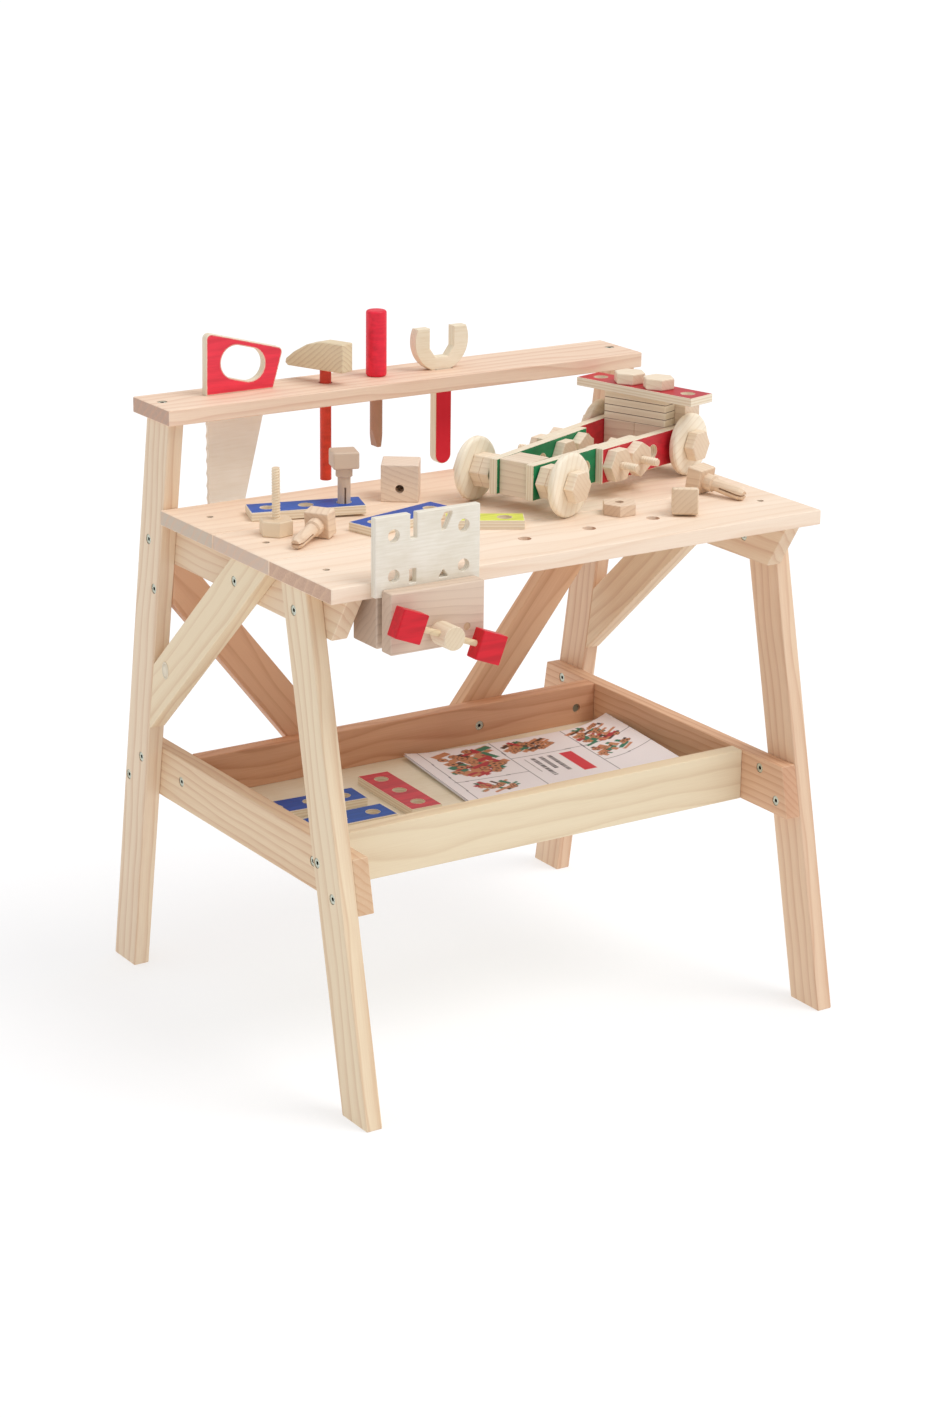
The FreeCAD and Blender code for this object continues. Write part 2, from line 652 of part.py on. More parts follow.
BOARD_LEFT = -260.2
BOARD_RIGHT = -138.3
BOARD_LOW = 542.1
BOARD_HIGH = 623.0
node("template_board", place(plate(
    "template_board", "XZ_Plane",
    [(BOARD_LEFT, BOARD_LOW), (BOARD_RIGHT, BOARD_LOW), (BOARD_RIGHT, BOARD_HIGH),
     (-211.8, BOARD_HIGH), (-211.8, 597.5), (-219.8, 597.5), (-219.8, BOARD_HIGH),
     (BOARD_LEFT, BOARD_HIGH)],
    "board_thick",
    [(-238.8, 602.9, 6.8), (-157.5, 602.9, 6.8), (-238.8, 562.0, 6.8), (-157.5, 562.0, 6.8)],
    "wood_round",
    [[(-220.8, 552.4), (-212.8, 552.4), (-212.8, 566.8), (-220.8, 566.8)],
     [(-187.2, 553.2), (-175.4, 553.2), (-181.3, 561.4)],
     [(-183.6, 600.6), (-178.4, 601.6), (-171.2, 616.2), (-171.2, 619.6), (-180.2, 619.0),
      (-184.0, 612.0)]]),
    "0", "table_front - jaw_play"))

# ---------------------------------------------------------------- tools in the rack

BLADE_LEFT, BLADE_RIGHT, BLADE_Y, BLADE_THICK = SAW_SLOT
HANDLE_THICK = 9.5
blade = place(plate(
    "blade_blank", "XZ_Plane",
    [(BLADE_LEFT + 1, 545), (-190.3, 545), (BLADE_RIGHT, 650), (BLADE_RIGHT, 677),
     (BLADE_LEFT + 1, 677)], BLADE_THICK, soften="wood_round"),
    "0", BLADE_Y + BLADE_THICK / 2)
TEETH = 8
TOOTH_PITCH = 13.6
TOOTH_RADIUS = 16.2
node("saw_blade", cut("saw_blade", blade, [
    rod("tooth_%d" % number, TOOTH_RADIUS, 20, BLADE_LEFT + 2.5 - TOOTH_RADIUS, BLADE_Y - 10,
        548 + number * TOOTH_PITCH, TURN_BACK) for number in range(TEETH)]))
handle = plate("saw_handle_blank", "XZ_Plane",
               [(-237, "rack_top"), (-154.9, "rack_top"), (-142.2, 711.4), (-236, 736.4)],
               HANDLE_THICK, soften=None)
round_edges(handle, 6, lambda edge: along(1)(edge) and edge.CenterOfMass.z > 690)
round_edges(handle, "wood_round", lambda edge: not along(1)(edge))
place(handle, "0", 158 + HANDLE_THICK)
grip_turn = Rotation(Vector(0, 1, 0), 15.1)
GRIP = 18.2
GRIP_ENDS = ((-200.6, 701.6), (-183.5, 697.0))
grip = [rod("grip_end_%d" % number, GRIP, 30, x, 150, z, TURN_BACK)
        for number, (x, z) in enumerate(GRIP_ENDS)]
grip.append(bar("grip_middle", GRIP_ENDS[1][0] - GRIP_ENDS[0][0], 30, 2 * GRIP,
                GRIP_ENDS[0][0] - GRIP * math.sin(math.radians(15.1)), 150,
                GRIP_ENDS[0][1] - GRIP * math.cos(math.radians(15.1)), grip_turn))
grip.append(bar("tongue_slot", BLADE_RIGHT - BLADE_LEFT + 1, BLADE_THICK + 0.2, 10,
                BLADE_LEFT, BLADE_Y - BLADE_THICK / 2 - 0.1, 667.4))
node("saw_handle", cut("saw_handle", handle, grip))

HEAD_TURN = spin(-67.5)
HEAD_LOW = 683.0
head_offset = HEAD_TURN.multVec(Vector(0, dim.stock / 2, 0))
head = plate("hammer_head_blank", "XZ_Plane",
             [(-45, HEAD_LOW), (30, HEAD_LOW), (30, 714.4), (1, 714.4), (-19, 709.4),
              (-36.5, 699.4), (-47.5, 690.6), (-48.5, 686)], "stock", soften=None)
round_edges(head, 9, lambda edge: along(1)(edge) and -40 < edge.CenterOfMass.x < 5)
round_edges(head, "edge_round", lambda edge: edge.CenterOfMass.z > HEAD_LOW - 1)
place(head, HAMMER_X + head_offset.x, "tool_axis + %.4f" % head_offset.y, "0", HEAD_TURN)
node("hammer_head", cut("hammer_head", head, [
    rod("head_bore", "hammer_grip + running", 40, HAMMER_X, "tool_axis", 665)]))
node("hammer_handle", place(turned("hammer_handle", [
    ("0", "0"), ("hammer_grip", "0"), ("hammer_grip", "145"), ("0", "145")], "wood_round"),
    HAMMER_X, "tool_axis", 559.6))

SHAFT_LOW = 589.0
driver_handle = turned("driver_handle_blank", [
    ("0", "0"), ("driver_grip", "0"), ("driver_grip", "73.2"), ("0", "73.2")])
round_edges(driver_handle, 3, lambda edge: edge.Curve.TypeId == "Part::GeomCircle")
place(driver_handle, DRIVER_X, DRIVER_Y, "rack_top")
node("screwdriver_handle", cut("screwdriver_handle", driver_handle, [
    rod("shaft_bore", "driver_shaft + running", 30, DRIVER_X, DRIVER_Y, "rack_top - 10")]))
shaft = place(turned("shaft_blank", [
    ("0", "0"), ("driver_shaft", "0"), ("driver_shaft", "98"), ("0", "98")]),
    DRIVER_X, DRIVER_Y, SHAFT_LOW)
flat_cuts = []
for number, side in enumerate((-1, 1)):
    lean = Rotation(Vector(0, 1, 0), side * 13.0)
    start = lean.multVec(Vector(0 if side > 0 else -20, 0, -10))
    flat_cuts.append(bar("flat_cut_%d" % number, 20, 30, 40, DRIVER_X + side * 2.4 + start.x,
                         DRIVER_Y - 15, SHAFT_LOW + start.z, lean))
node("screwdriver_shaft", cut("screwdriver_shaft", shaft, flat_cuts))

RING_X = 55.6
RING_Z = 701.0
JAW_FLOOR = 682.6
ring = rod("wrench_ring", "wrench_ring", "wrench_thick", RING_X, 150, RING_Z, TURN_BACK)
ring_tools = [bar("ring_foot", 90, 40, 30, RING_X - 45, 140, "rack_top - 30"),
              bar("ring_top", 90, 40, 30, RING_X - 45, 140, 715.5),
              place(plate("ring_jaw", "XZ_Plane", [
                  ("%s - wrench_jaw" % RING_X, 740), ("%s - wrench_jaw" % RING_X, 693),
                  (RING_X - 8, JAW_FLOOR), (RING_X + 8, JAW_FLOOR),
                  ("%s + wrench_jaw" % RING_X, 693), ("%s + wrench_jaw" % RING_X, 740)],
                  40, soften=None), "0", 180)]
grip_end = rod("wrench_tip", WRENCH_HALF, "wrench_thick", WRENCH_X, 150, 570.8, TURN_BACK)
grip_bar = bar("wrench_grip", 2 * WRENCH_HALF, "wrench_thick", "rack_top + 3 - 570.8",
               WRENCH_X - WRENCH_HALF, 150, 570.8)
wrench = join("wrench_blank", [cut("wrench_head", ring, ring_tools), grip_end, grip_bar])
rounded = doc.addObject("Part::Fillet", "wrench")
rounded.Base = wrench
rounded.Edges = [(number, 1.1, 1.1) for number, edge in enumerate(wrench.Shape.Edges, start=1)
                 if edge.Length > 3 and abs(edge.BoundBox.YLength) < 0.01]
doc.recompute()
node("wrench", rounded)

# ---------------------------------------------------------------- building-set pieces


def toy_plank(name, length, width, thick, hole_pitch, count, first=None):
    """A plank with a row of holes, centred on its own origin, lying flat."""
    start = "-(%s) / 2" % length
    first_hole = first or "-(%s) * %.2f" % (hole_pitch, (count - 1) / 2)
    holes_row = [("%s + %d * %s" % (first_hole, number, hole_pitch), "0", "plank_hole")
                 for number in range(count)]
    return plate(name, "XY_Plane", [
        (start, "-(%s) / 2" % width), ("(%s) / 2" % length, "-(%s) / 2" % width),
        ("(%s) / 2" % length, "(%s) / 2" % width), (start, "(%s) / 2" % width)],
        thick, holes_row, "wood_round")


def screw_bolt(name, length, head="hex_thick"):
    """A wooden hex-headed bolt, its head's outer face at its own origin."""
    thread = turned(name + "_thread", [
        ("0", head + " - 1"), ("thread", head + " - 1"), ("thread", length), ("0", length)])
    round_edges(thread, "wood_round", lambda edge: edge.CenterOfMass.z > 30
                and edge.Curve.TypeId == "Part::GeomCircle")
    return join(name, [hexagon(name + "_head", head), thread])


def square_peg(name):
    """A peg with a square head, a round collar and a slotted shank."""
    head = place(block(name + "_head", "peg_head", "peg_head", "peg_head_thick", "edge_round + 0.6"),
                 "-peg_head / 2", "-peg_head / 2")
    stem = turned(name + "_stem", [
        ("0", "peg_head_thick - 1"), ("peg_collar", "peg_head_thick - 1"),
        ("peg_collar", "peg_head_thick + peg_collar_length - 1.5"),
        ("peg_shank", "peg_head_thick + peg_collar_length"), ("peg_shank", "peg_length - peg_taper"),
        ("peg_shank - 2.2", "peg_length"), ("0", "peg_length")])
    slot = bar(name + "_slot", "peg_slot", "4 * peg_shank", 31, "-peg_slot / 2",
               "-2 * peg_shank", "peg_length - 29")
    return cut(name, join(name + "_whole", [head, stem]), [slot])


def on_table(x, y, z, turn):
    return Placement(Vector(x, y, dim.table_top + z), turn)


def single(label, master, placement):
    """A node that is one copy of a master piece."""
    return group(label, [moved(master, label + "_copy", placement)])


three_hole = toy_plank("three_hole", "plank_length", "plank_width", "plank_thick",
                       "hole_pitch", 3)
long_bolt = screw_bolt("long_bolt", "bolt_length", "stout_head")
nut = hexagon("hex_nut", "hex_thick", "thread + 0.15")
peg = square_peg("square_peg")
UPSIDE_DOWN = Rotation(Vector(1, 0, 0), 180)

single("hex_bolt_standing", long_bolt, on_table(-247.5, -9.0, 0, spin(12)))
single("hex_nut_loose", nut, on_table(109.2, -118.6, 0, spin(-2)))
LEAN = 1.2
rise = math.sin(math.radians(LEAN)) * dim.plank_length / 2
single("plank_blue_pegged", three_hole,
       on_table(-180.7, 45.1, rise, spin(-19.2) * Rotation(Vector(0, 1, 0), -LEAN)))
single("plank_blue_loose", three_hole, on_table(-111.9, -38.5, 0, spin(14.0)))
single("peg_standing", peg, on_table(-141.9, 31.3, dim.peg_length, spin(-19.2) * UPSIDE_DOWN))


def lying_peg(label, x, y, heading):
    """A peg on its side: it rests on the head's inner edge and on the shank's tip."""
    drop = math.atan((dim.peg_head / 2 - dim.peg_shank)
                     / (dim.peg_length - dim.peg_taper - dim.peg_head_thick))
    lay = spin(heading) * Rotation(Vector(0, 1, 0), 90 + math.degrees(drop))
    pivot = lay.multVec(Vector(dim.peg_head / 2, 0, dim.peg_head_thick))
    single(label, peg, on_table(x, y, 0.05 - pivot.z, lay))


lying_peg("peg_lying_left", -206.1, -35.8, -146.0)
lying_peg("peg_lying_front", 160.2, -167.7, 56.5)
lying_peg("peg_lying_right", 236.0, -80.5, -73.0)

CUBE_TURN = spin(-35)
cube_corner = CUBE_TURN.multVec(Vector(-dim.loose_cube / 2, -dim.loose_cube / 2, 0))
cube = place(block("cube_blank", "loose_cube", "loose_cube", "loose_cube", "edge_round"), -56 + cube_corner.x,
             56 + cube_corner.y, "table_top", CUBE_TURN)
hole_start = CUBE_TURN.multVec(Vector(0, -dim.loose_cube, 0))
node("block_loose", cut("block_loose", cube, [
    rod("cube_hole", "thread", "loose_cube * 0.5 + 26", -56 + hole_start.x, 56 + hole_start.y,
        "table_top + 14.5", CUBE_TURN * TURN_BACK)]))
node("plank_yellow", place(toy_plank("plank_yellow", "2 * hole_pitch", "plank_width - 7",
                                     "plank_thick", "hole_pitch", 2),
                           -43, -90, "table_top", spin(-30.5)))

# ---------------------------------------------------------------- things in the tray

TRAY_FLOOR = dim.tray_bottom + dim.floor_height + dim.floor_thick


def in_tray(x, y, turn):
    return Placement(Vector(x, y, TRAY_FLOOR), spin(turn))


single("plank_tray_red", three_hole, in_tray(-78.3, 19.9, 87.3))
group("planks_tray_blue", [
    moved(three_hole, "tray_blue_back", in_tray(-181.3, 39.2, -3.4)),
    moved(three_hole, "tray_blue_front", in_tray(-180.7, -23.9, -0.7))])
node("booklet", place(plate("booklet", "XY_Plane", [
    (-31, -85), (231, -103), (256, 110), (-5, 128)], 3, soften=None), z=TRAY_FLOOR))

# ---------------------------------------------------------------- vehicle
# Its own frame: +X from the front axle to the rear axle, +Y to the far side, +Z up,
# origin on the table under the middle of the front axle.

CAR = Placement(Vector(31.4, -47.3, dim.table_top), spin(21.0))
SPLAY = 3.0
BOLT_SPOTS = (3, 4)


def on_car(x, y, z, turn=None):
    return CAR.multiply(Placement(Vector(x, y, z), turn or Rotation()))


def on_beam(side, x, y, z, turn=None):
    """Beside the vehicle's side beam: x along the beam, y outward from its inner face."""
    beam = Placement(Vector(0, side * dim.car_half, 0), spin(side * SPLAY))
    return CAR.multiply(beam).multiply(Placement(Vector(x, side * y, z), turn or Rotation()))


def beam_plank(name, count, length, axle):
    """A side plank on edge: its row of holes starts at the overhang, plus one axle hole."""
    holes_row = [("car_overhang + %d * car_pitch" % number, "car_height / 2", "plank_hole")
                 for number in range(count)]
    if axle:
        holes_row.append((axle, "car_height / 2", "plank_hole"))
    return plate(name, "XZ_Plane", [("0", "0"), (length, "0"), (length, "car_height"),
                                    ("0", "car_height")], "car_plank", holes_row, "wood_round")


RED_START = 3 * dim.car_pitch
green_plank = beam_plank("green_plank", 5, "2 * car_overhang + 4 * car_pitch", None)
red_plank = beam_plank("red_plank", 3, "wheelbase - 3 * car_pitch + 2 * car_overhang",
                       "wheelbase - 3 * car_pitch + car_overhang")
short_bolt = screw_bolt("short_bolt", "car_bolt")
greens = []
reds = []
car_bolts = []
car_nuts = []
AXLE = dim.axle_height
for side in (-1, 1):
    outward = TURN_BACK if side > 0 else TURN_FRONT
    inward = TURN_FRONT if side > 0 else TURN_BACK
    inner_edge = dim.car_plank if side > 0 else 0
    greens.append(moved(green_plank, "green_%d" % side, on_beam(
        side, -dim.car_overhang, side * inner_edge, dim.car_floor)))
    reds.append(moved(red_plank, "red_%d" % side, on_beam(
        side, RED_START - dim.car_overhang, dim.car_plank + side * inner_edge, dim.car_floor)))
    for spot, turn in zip(BOLT_SPOTS, (spin(0), spin(30))):
        along_beam = spot * dim.car_pitch
        car_bolts.append(moved(short_bolt, "joint_bolt_%d_%d" % (side, spot), on_beam(
            side, along_beam, -dim.hex_thick, AXLE, outward * turn)))
        car_nuts.append(moved(nut, "joint_nut_%d_%d" % (side, spot), on_beam(
            side, along_beam, 2 * dim.car_plank, AXLE, outward * turn)))
    for axle_x, lateral in ((0, dim.front_lateral), (dim.wheelbase, dim.rear_lateral)):
        head_out = lateral + dim.wheel_thick / 2 + 0.35 + dim.hex_thick
        car_bolts.append(moved(short_bolt, "axle_bolt_%d_%d" % (side, axle_x), on_car(
            axle_x, side * head_out, AXLE, inward)))
    for number in range(2):
        level = dim.front_lateral - dim.wheel_thick / 2 - 0.3 - number * (dim.hex_thick + 0.2)
        car_nuts.append(moved(nut, "axle_nut_%d_%d" % (side, number), on_car(
            0, side * level, AXLE, inward)))
group("car_planks_green", greens)
group("car_planks_red", reds)

wheel = turned("wheel", [
    ("thread + running", "0"), ("wheel - 3.6", "0"), ("wheel - 1.4", "0.8"), ("wheel", "2.8"),
    ("wheel", "wheel_thick - 2.8"), ("wheel - 1.4", "wheel_thick - 0.8"),
    ("wheel - 3.6", "wheel_thick"), ("thread + running", "wheel_thick")])
WHEELS = {"front": (0, dim.front_lateral), "rear": (dim.wheelbase, dim.rear_lateral)}
for end, (axle_x, lateral) in WHEELS.items():
    for side_name, side in (("near", -1), ("far", 1)):
        single("wheel_%s_%s" % (end, side_name), wheel, on_car(
            axle_x, side * lateral + dim.wheel_thick / 2, AXLE, TURN_FRONT))

SPOILER_X = 226.8
SPOILER_Y = -6.3
SPOILER_TURN = 84.2
BLOCK_TOP = dim.car_floor + dim.car_height
STACK_TOP = BLOCK_TOP + 4 * dim.pale_thick
STACK_FRONT = dim.wheelbase - 20.6


def car_block(name, x, y, z, length, width, height):
    """A block or short plank with its corner at a place on the vehicle."""
    base = block(name, length, width, height, "wood_round")
    base.Placement = on_car(x, y, z)
    return base


def car_bore(name, radius, length, x, y, z, turn=None):
    item = rod(name, radius, length)
    item.Placement = on_car(x, y, z, turn)
    return item


spoiler_bolts = [spin(SPOILER_TURN).multVec(Vector(reach * dim.hole_pitch, 0, 0))
                 for reach in (-0.5, 0.5)]


def upright(name):
    """The two upright bolt holes that hold the spoiler down."""
    return [car_bore("%s_upright_%d" % (name, number), "thread + 0.4", 60,
                     SPOILER_X + spot.x, SPOILER_Y + spot.y, STACK_TOP - 44)
            for number, spot in enumerate(spoiler_bolts)]


front_block = cut("front_block", car_block(
    "front_block_blank", 5 - dim.car_overhang, -dim.car_half + 1, dim.car_floor,
    "cube", "2 * car_half - 2", "car_height"),
    [car_bore("front_axle_bore", "thread + 0.4", 60, 0, -30, AXLE, TURN_BACK)])
rear_blocks = []
for side in (-1, 1):
    low = 0.1 if side > 0 else -dim.rear_block
    rear_blocks.append(cut("rear_block_%d" % side, car_block(
        "rear_block_blank_%d" % side, STACK_FRONT, low, dim.car_floor,
        "cube + 2", "rear_block - 0.1", "car_height"),
        [car_bore("rear_axle_bore_%d" % side, "thread + 0.4", 100, dim.wheelbase, -50, AXLE,
                  TURN_BACK)] + upright("rear_block_%d" % side)))
    low = 16 if side > 0 else -dim.cube - 16
    rear_blocks.append(car_block("riser_%d" % side, STACK_FRONT + 20.2, low, BLOCK_TOP,
                                 "cube - 8", "cube", "4 * pale_thick"))
group("car_blocks", [front_block] + rear_blocks)
group("car_stack", [cut("stack_%d" % number, car_block(
    "stack_blank_%d" % number, STACK_FRONT, -dim.rear_block, BLOCK_TOP + number * dim.pale_thick,
    20, "2 * rear_block", "pale_thick"), upright("stack_%d" % number)) for number in range(4)])
spoiler = toy_plank("spoiler_plank", "spoiler_length", "car_height", "plank_thick",
                    "hole_pitch", 4)
single("car_spoiler", spoiler, on_car(SPOILER_X, SPOILER_Y, STACK_TOP, spin(SPOILER_TURN)))
short_pin = screw_bolt("spoiler_bolt", "hex_thick + 44")
for number, spot in enumerate(spoiler_bolts):
    car_bolts.append(moved(short_pin, "spoiler_bolt_%d" % number, on_car(
        SPOILER_X + spot.x, SPOILER_Y + spot.y, STACK_TOP + dim.plank_thick + dim.hex_thick,
        spin(SPOILER_TURN + 20) * UPSIDE_DOWN)))
group("car_bolts", car_bolts)
group("car_nuts", car_nuts)

# ---------------------------------------------------------------- checks and files

doc.recompute()
for item in doc.Objects:
    if "Invalid" in item.State or "Error" in item.State:
        raise RuntimeError("%s failed: %s" % (item.Label, item.State))
os.makedirs("parts", exist_ok=True)
for label, item in NODES.items():
    shape = item.Shape
    if shape.isNull() or not shape.isValid() or not shape.Solids:
        raise RuntimeError("%s has no valid solid" % label)
    shape.exportStep("parts/%s.step" % label)
print("%d nodes" % len(NODES))
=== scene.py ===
import math
import random

import bmesh
import bpy
import numpy as np
from mathutils import Matrix, Vector


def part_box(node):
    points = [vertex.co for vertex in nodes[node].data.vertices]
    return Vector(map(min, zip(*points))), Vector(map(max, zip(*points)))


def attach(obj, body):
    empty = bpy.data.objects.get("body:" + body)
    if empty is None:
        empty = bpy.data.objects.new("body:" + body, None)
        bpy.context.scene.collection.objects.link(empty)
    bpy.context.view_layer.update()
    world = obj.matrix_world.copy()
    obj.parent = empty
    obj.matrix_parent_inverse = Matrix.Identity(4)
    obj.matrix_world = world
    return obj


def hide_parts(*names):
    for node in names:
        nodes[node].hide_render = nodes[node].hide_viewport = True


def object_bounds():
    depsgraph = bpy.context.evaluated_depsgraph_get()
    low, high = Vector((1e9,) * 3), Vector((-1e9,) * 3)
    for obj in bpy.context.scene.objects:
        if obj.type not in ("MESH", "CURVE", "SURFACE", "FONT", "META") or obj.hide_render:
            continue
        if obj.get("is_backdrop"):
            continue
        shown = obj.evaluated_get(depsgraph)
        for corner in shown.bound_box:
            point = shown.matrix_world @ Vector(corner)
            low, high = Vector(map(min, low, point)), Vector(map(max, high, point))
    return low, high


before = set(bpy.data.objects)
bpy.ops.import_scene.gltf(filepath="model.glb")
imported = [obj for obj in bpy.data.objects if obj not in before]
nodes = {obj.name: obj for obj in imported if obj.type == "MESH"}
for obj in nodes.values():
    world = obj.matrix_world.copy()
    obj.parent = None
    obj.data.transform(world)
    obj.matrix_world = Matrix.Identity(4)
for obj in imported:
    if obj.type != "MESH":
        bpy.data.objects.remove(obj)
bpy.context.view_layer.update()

# ---------------------------------------------------------------- camera and light

AZIMUTH, ELEVATION, ROLL = map(math.radians, (-33.28, 18.1, 0.7))
EYE = Vector((-1.7930, -2.73705, 1.39134))
LENS_MM = 79.46
SENSOR_MM = 36.0
FAR_CLIP = 100.0
WHITE = (1.0, 1.0, 1.0, 1.0)
WORLD_STRENGTH = 0.56
SUNS = (
    # name, strength, spread in degrees, direction towards the sun, colour
    ("key", 1.35, 35, (0.45, -0.5, 1.0), (1.0, 0.99, 0.97)),
    ("top", 0.55, 80, (-0.1, 0.25, 1.0), (1.0, 1.0, 1.0)),
)

back = Vector((math.sin(AZIMUTH) * math.cos(ELEVATION),
               -math.cos(AZIMUTH) * math.cos(ELEVATION), math.sin(ELEVATION)))
side = Vector((math.cos(AZIMUTH), math.sin(AZIMUTH), 0))
up = back.cross(side)
right = math.cos(ROLL) * side + math.sin(ROLL) * up
upright = math.cos(ROLL) * up - math.sin(ROLL) * side
camera_data = bpy.data.cameras.new("camera")
camera_data.lens = LENS_MM
camera_data.sensor_width = SENSOR_MM
camera_data.clip_end = FAR_CLIP
camera = bpy.data.objects.new("camera", camera_data)
bpy.context.scene.collection.objects.link(camera)
camera.matrix_world = Matrix((
    (right.x, upright.x, back.x, EYE.x), (right.y, upright.y, back.y, EYE.y),
    (right.z, upright.z, back.z, EYE.z), (0, 0, 0, 1)))
bpy.context.scene.camera = camera
bpy.context.scene.view_settings.view_transform = "Standard"

world = bpy.data.worlds.new("world")
bpy.context.scene.world = world
world.use_nodes = True
world.node_tree.nodes["Background"].inputs["Color"].default_value = WHITE
world.node_tree.nodes["Background"].inputs["Strength"].default_value = WORLD_STRENGTH

for name, strength, spread, direction, colour in SUNS:
    light = bpy.data.lights.new(name, "SUN")
    light.energy = strength
    light.angle = math.radians(spread)
    light.color = colour
    lamp = bpy.data.objects.new(name, light)
    bpy.context.scene.collection.objects.link(lamp)
    lamp.rotation_mode = "QUATERNION"
    lamp.rotation_quaternion = Vector(direction).to_track_quat("Z", "Y")


# ---------------------------------------------------------------- mesh helpers

WELD = 1e-6


def mesh_object(name, points, faces, material, smooth=True):
    mesh = bpy.data.meshes.new(name)
    mesh.from_pydata([tuple(p) for p in points], [], faces)
    mesh.validate()
    made = bpy.data.objects.new(name, mesh)
    bpy.context.scene.collection.objects.link(made)
    if smooth:
        for polygon in mesh.polygons:
            polygon.use_smooth = True
    mesh.materials.append(material)
    return made


def tube(rings, sides, turned=False):
    """Faces that join rings of points into a closed tube; turned swaps inside and outside."""
    faces = []
    for start in range(0, (rings - 1) * sides, sides):
        for step in range(sides):
            a, b = start + step, start + (step + 1) % sides
            faces.append((a, a + sides, b + sides, b) if turned else (a, b, b + sides, a + sides))
    first = tuple(range(sides))
    last = tuple(range((rings - 1) * sides, rings * sides))
    return faces + ([last[::-1], first] if turned else [first[::-1], last])


def islands(name):
    """The separate solids of a CAD node, each as an array of its points."""
    work = bmesh.new()
    work.from_mesh(nodes[name].data)
    bmesh.ops.remove_doubles(work, verts=work.verts, dist=WELD)
    seen = set()
    found = []
    for start in work.verts:
        if start.index in seen:
            continue
        queue = [start]
        seen.add(start.index)
        points = []
        while queue:
            vertex = queue.pop()
            points.append(vertex.co[:])
            for edge in vertex.link_edges:
                other = edge.other_vert(vertex)
                if other.index not in seen:
                    seen.add(other.index)
                    queue.append(other)
        found.append(np.array(points))
    work.free()
    return found


# ---------------------------------------------------------------- material helpers

GREY_SHARE = (0.3, 0.6, 0.1)
SPREAD = (0.3, 0.7)  # where most of a noise's values lie
SPECULAR = 0.35
BUMP_DEPTH = 0.0006
SEED_REACH = 5.0


def linear(text, calm=0.0):
    """A colour written as six hex digits, as linear numbers, drawn towards grey by calm."""
    parts = [int(text[i:i + 2], 16) / 255 for i in (0, 2, 4)]
    parts = [p / 12.92 if p <= 0.04045 else ((p + 0.055) / 1.055) ** 2.4 for p in parts]
    grey = GREY_SHARE[0] * parts[0] + GREY_SHARE[1] * parts[1] + GREY_SHARE[2] * parts[2]
    return tuple(p + calm * (grey - p) for p in parts) + (1.0,)


class Tree:
    """A material's nodes, added one after another."""

    def __init__(self, name):
        self.material = bpy.data.materials.new(name)
        self.material.use_nodes = True
        self.tree = self.material.node_tree
        self.shader = self.tree.nodes["Principled BSDF"]
        coordinates = self.tree.nodes.new("ShaderNodeTexCoord")
        self.place = coordinates.outputs["Object"]
        self.normal = coordinates.outputs["Normal"]

    def plug(self, node, socket, source):
        """Link a socket to its source, or set it where the source is a plain value."""
        if isinstance(source, bpy.types.NodeSocket):
            self.tree.links.new(source, node.inputs[socket])
        else:
            node.inputs[socket].default_value = source

    def add(self, kind, links, **settings):
        made = self.tree.nodes.new(kind)
        for key, value in settings.items():
            setattr(made, key, value)
        for socket, source in links.items():
            self.plug(made, socket, source)
        return made

    def math(self, operation, a, b=0.0, clamp=False):
        return self.add("ShaderNodeMath", {0: a, 1: b, 2: 0.0}, operation=operation,
                        use_clamp=clamp).outputs[0]

    def vector(self, operation, a, b, output=0):
        return self.add("ShaderNodeVectorMath", {0: a, 1: b}, operation=operation).outputs[output]

    def noise(self, vector, scale, detail=2.0, rough=0.5):
        return self.add("ShaderNodeTexNoise", {"Vector": vector, "Scale": scale, "Detail": detail,
                                               "Roughness": rough}).outputs["Fac"]

    def streaks(self, place, scales, detail=2.0, rough=0.5):
        """Noise drawn out along the grain, its scales given along the grain and across it."""
        along, across = scales
        stretched = [self.math("MULTIPLY", part, scale)
                     for part, scale in zip(place, (along, across, across))]
        vector = self.add("ShaderNodeCombineXYZ", dict(enumerate(stretched))).outputs[0]
        return self.noise(vector, 1.0, detail, rough)

    def remap(self, value, low, high, to_low=0.0, to_high=1.0):
        return self.add("ShaderNodeMapRange", {"Value": value, "From Min": low, "From Max": high,
                                               "To Min": to_low, "To Max": to_high}).outputs[0]

    def mix(self, factor, a, b, blend="MIX"):
        return self.add("ShaderNodeMix", {0: factor, 6: a, 7: b}, data_type="RGBA",
                        blend_type=blend).outputs[2]

    def facing(self, axis, both=True):
        """How much the surface faces along an axis, in the piece's own frame."""
        share = self.vector("DOT_PRODUCT", self.normal, axis, "Value")
        return self.math("ABSOLUTE", share) if both else share

    def level(self):
        """The height in the piece's own frame."""
        return self.add("ShaderNodeSeparateXYZ", {0: self.place}).outputs[2]

    def finish(self, colour, rough, height=None, strength=0.15):
        self.plug(self.shader, "Base Color", colour)
        self.plug(self.shader, "Roughness", rough)
        if height is not None:
            bump = self.add("ShaderNodeBump", {"Strength": strength, "Distance": BUMP_DEPTH,
                                               "Height": height})
            self.plug(self.shader, "Normal", bump.outputs[0])
        self.shader.inputs["Specular IOR Level"].default_value = SPECULAR
        return self.material


def grain_frame(tree, along, seed, across):
    """The piece's own place turned so that X runs along the grain and Z across the face."""
    x = Vector(along).normalized()
    z = Vector(across or (0, 0, 1))
    z = (z - x * z.dot(x)).normalized()
    y = z.cross(x)
    rng = random.Random(seed)
    moved = tree.vector("ADD", tree.place,
                        tuple(rng.uniform(-SEED_REACH, SEED_REACH) for _ in range(3)))
    return [tree.vector("DOT_PRODUCT", moved, tuple(axis), "Value") for axis in (x, y, z)]


WOOD_CALM = 0.14
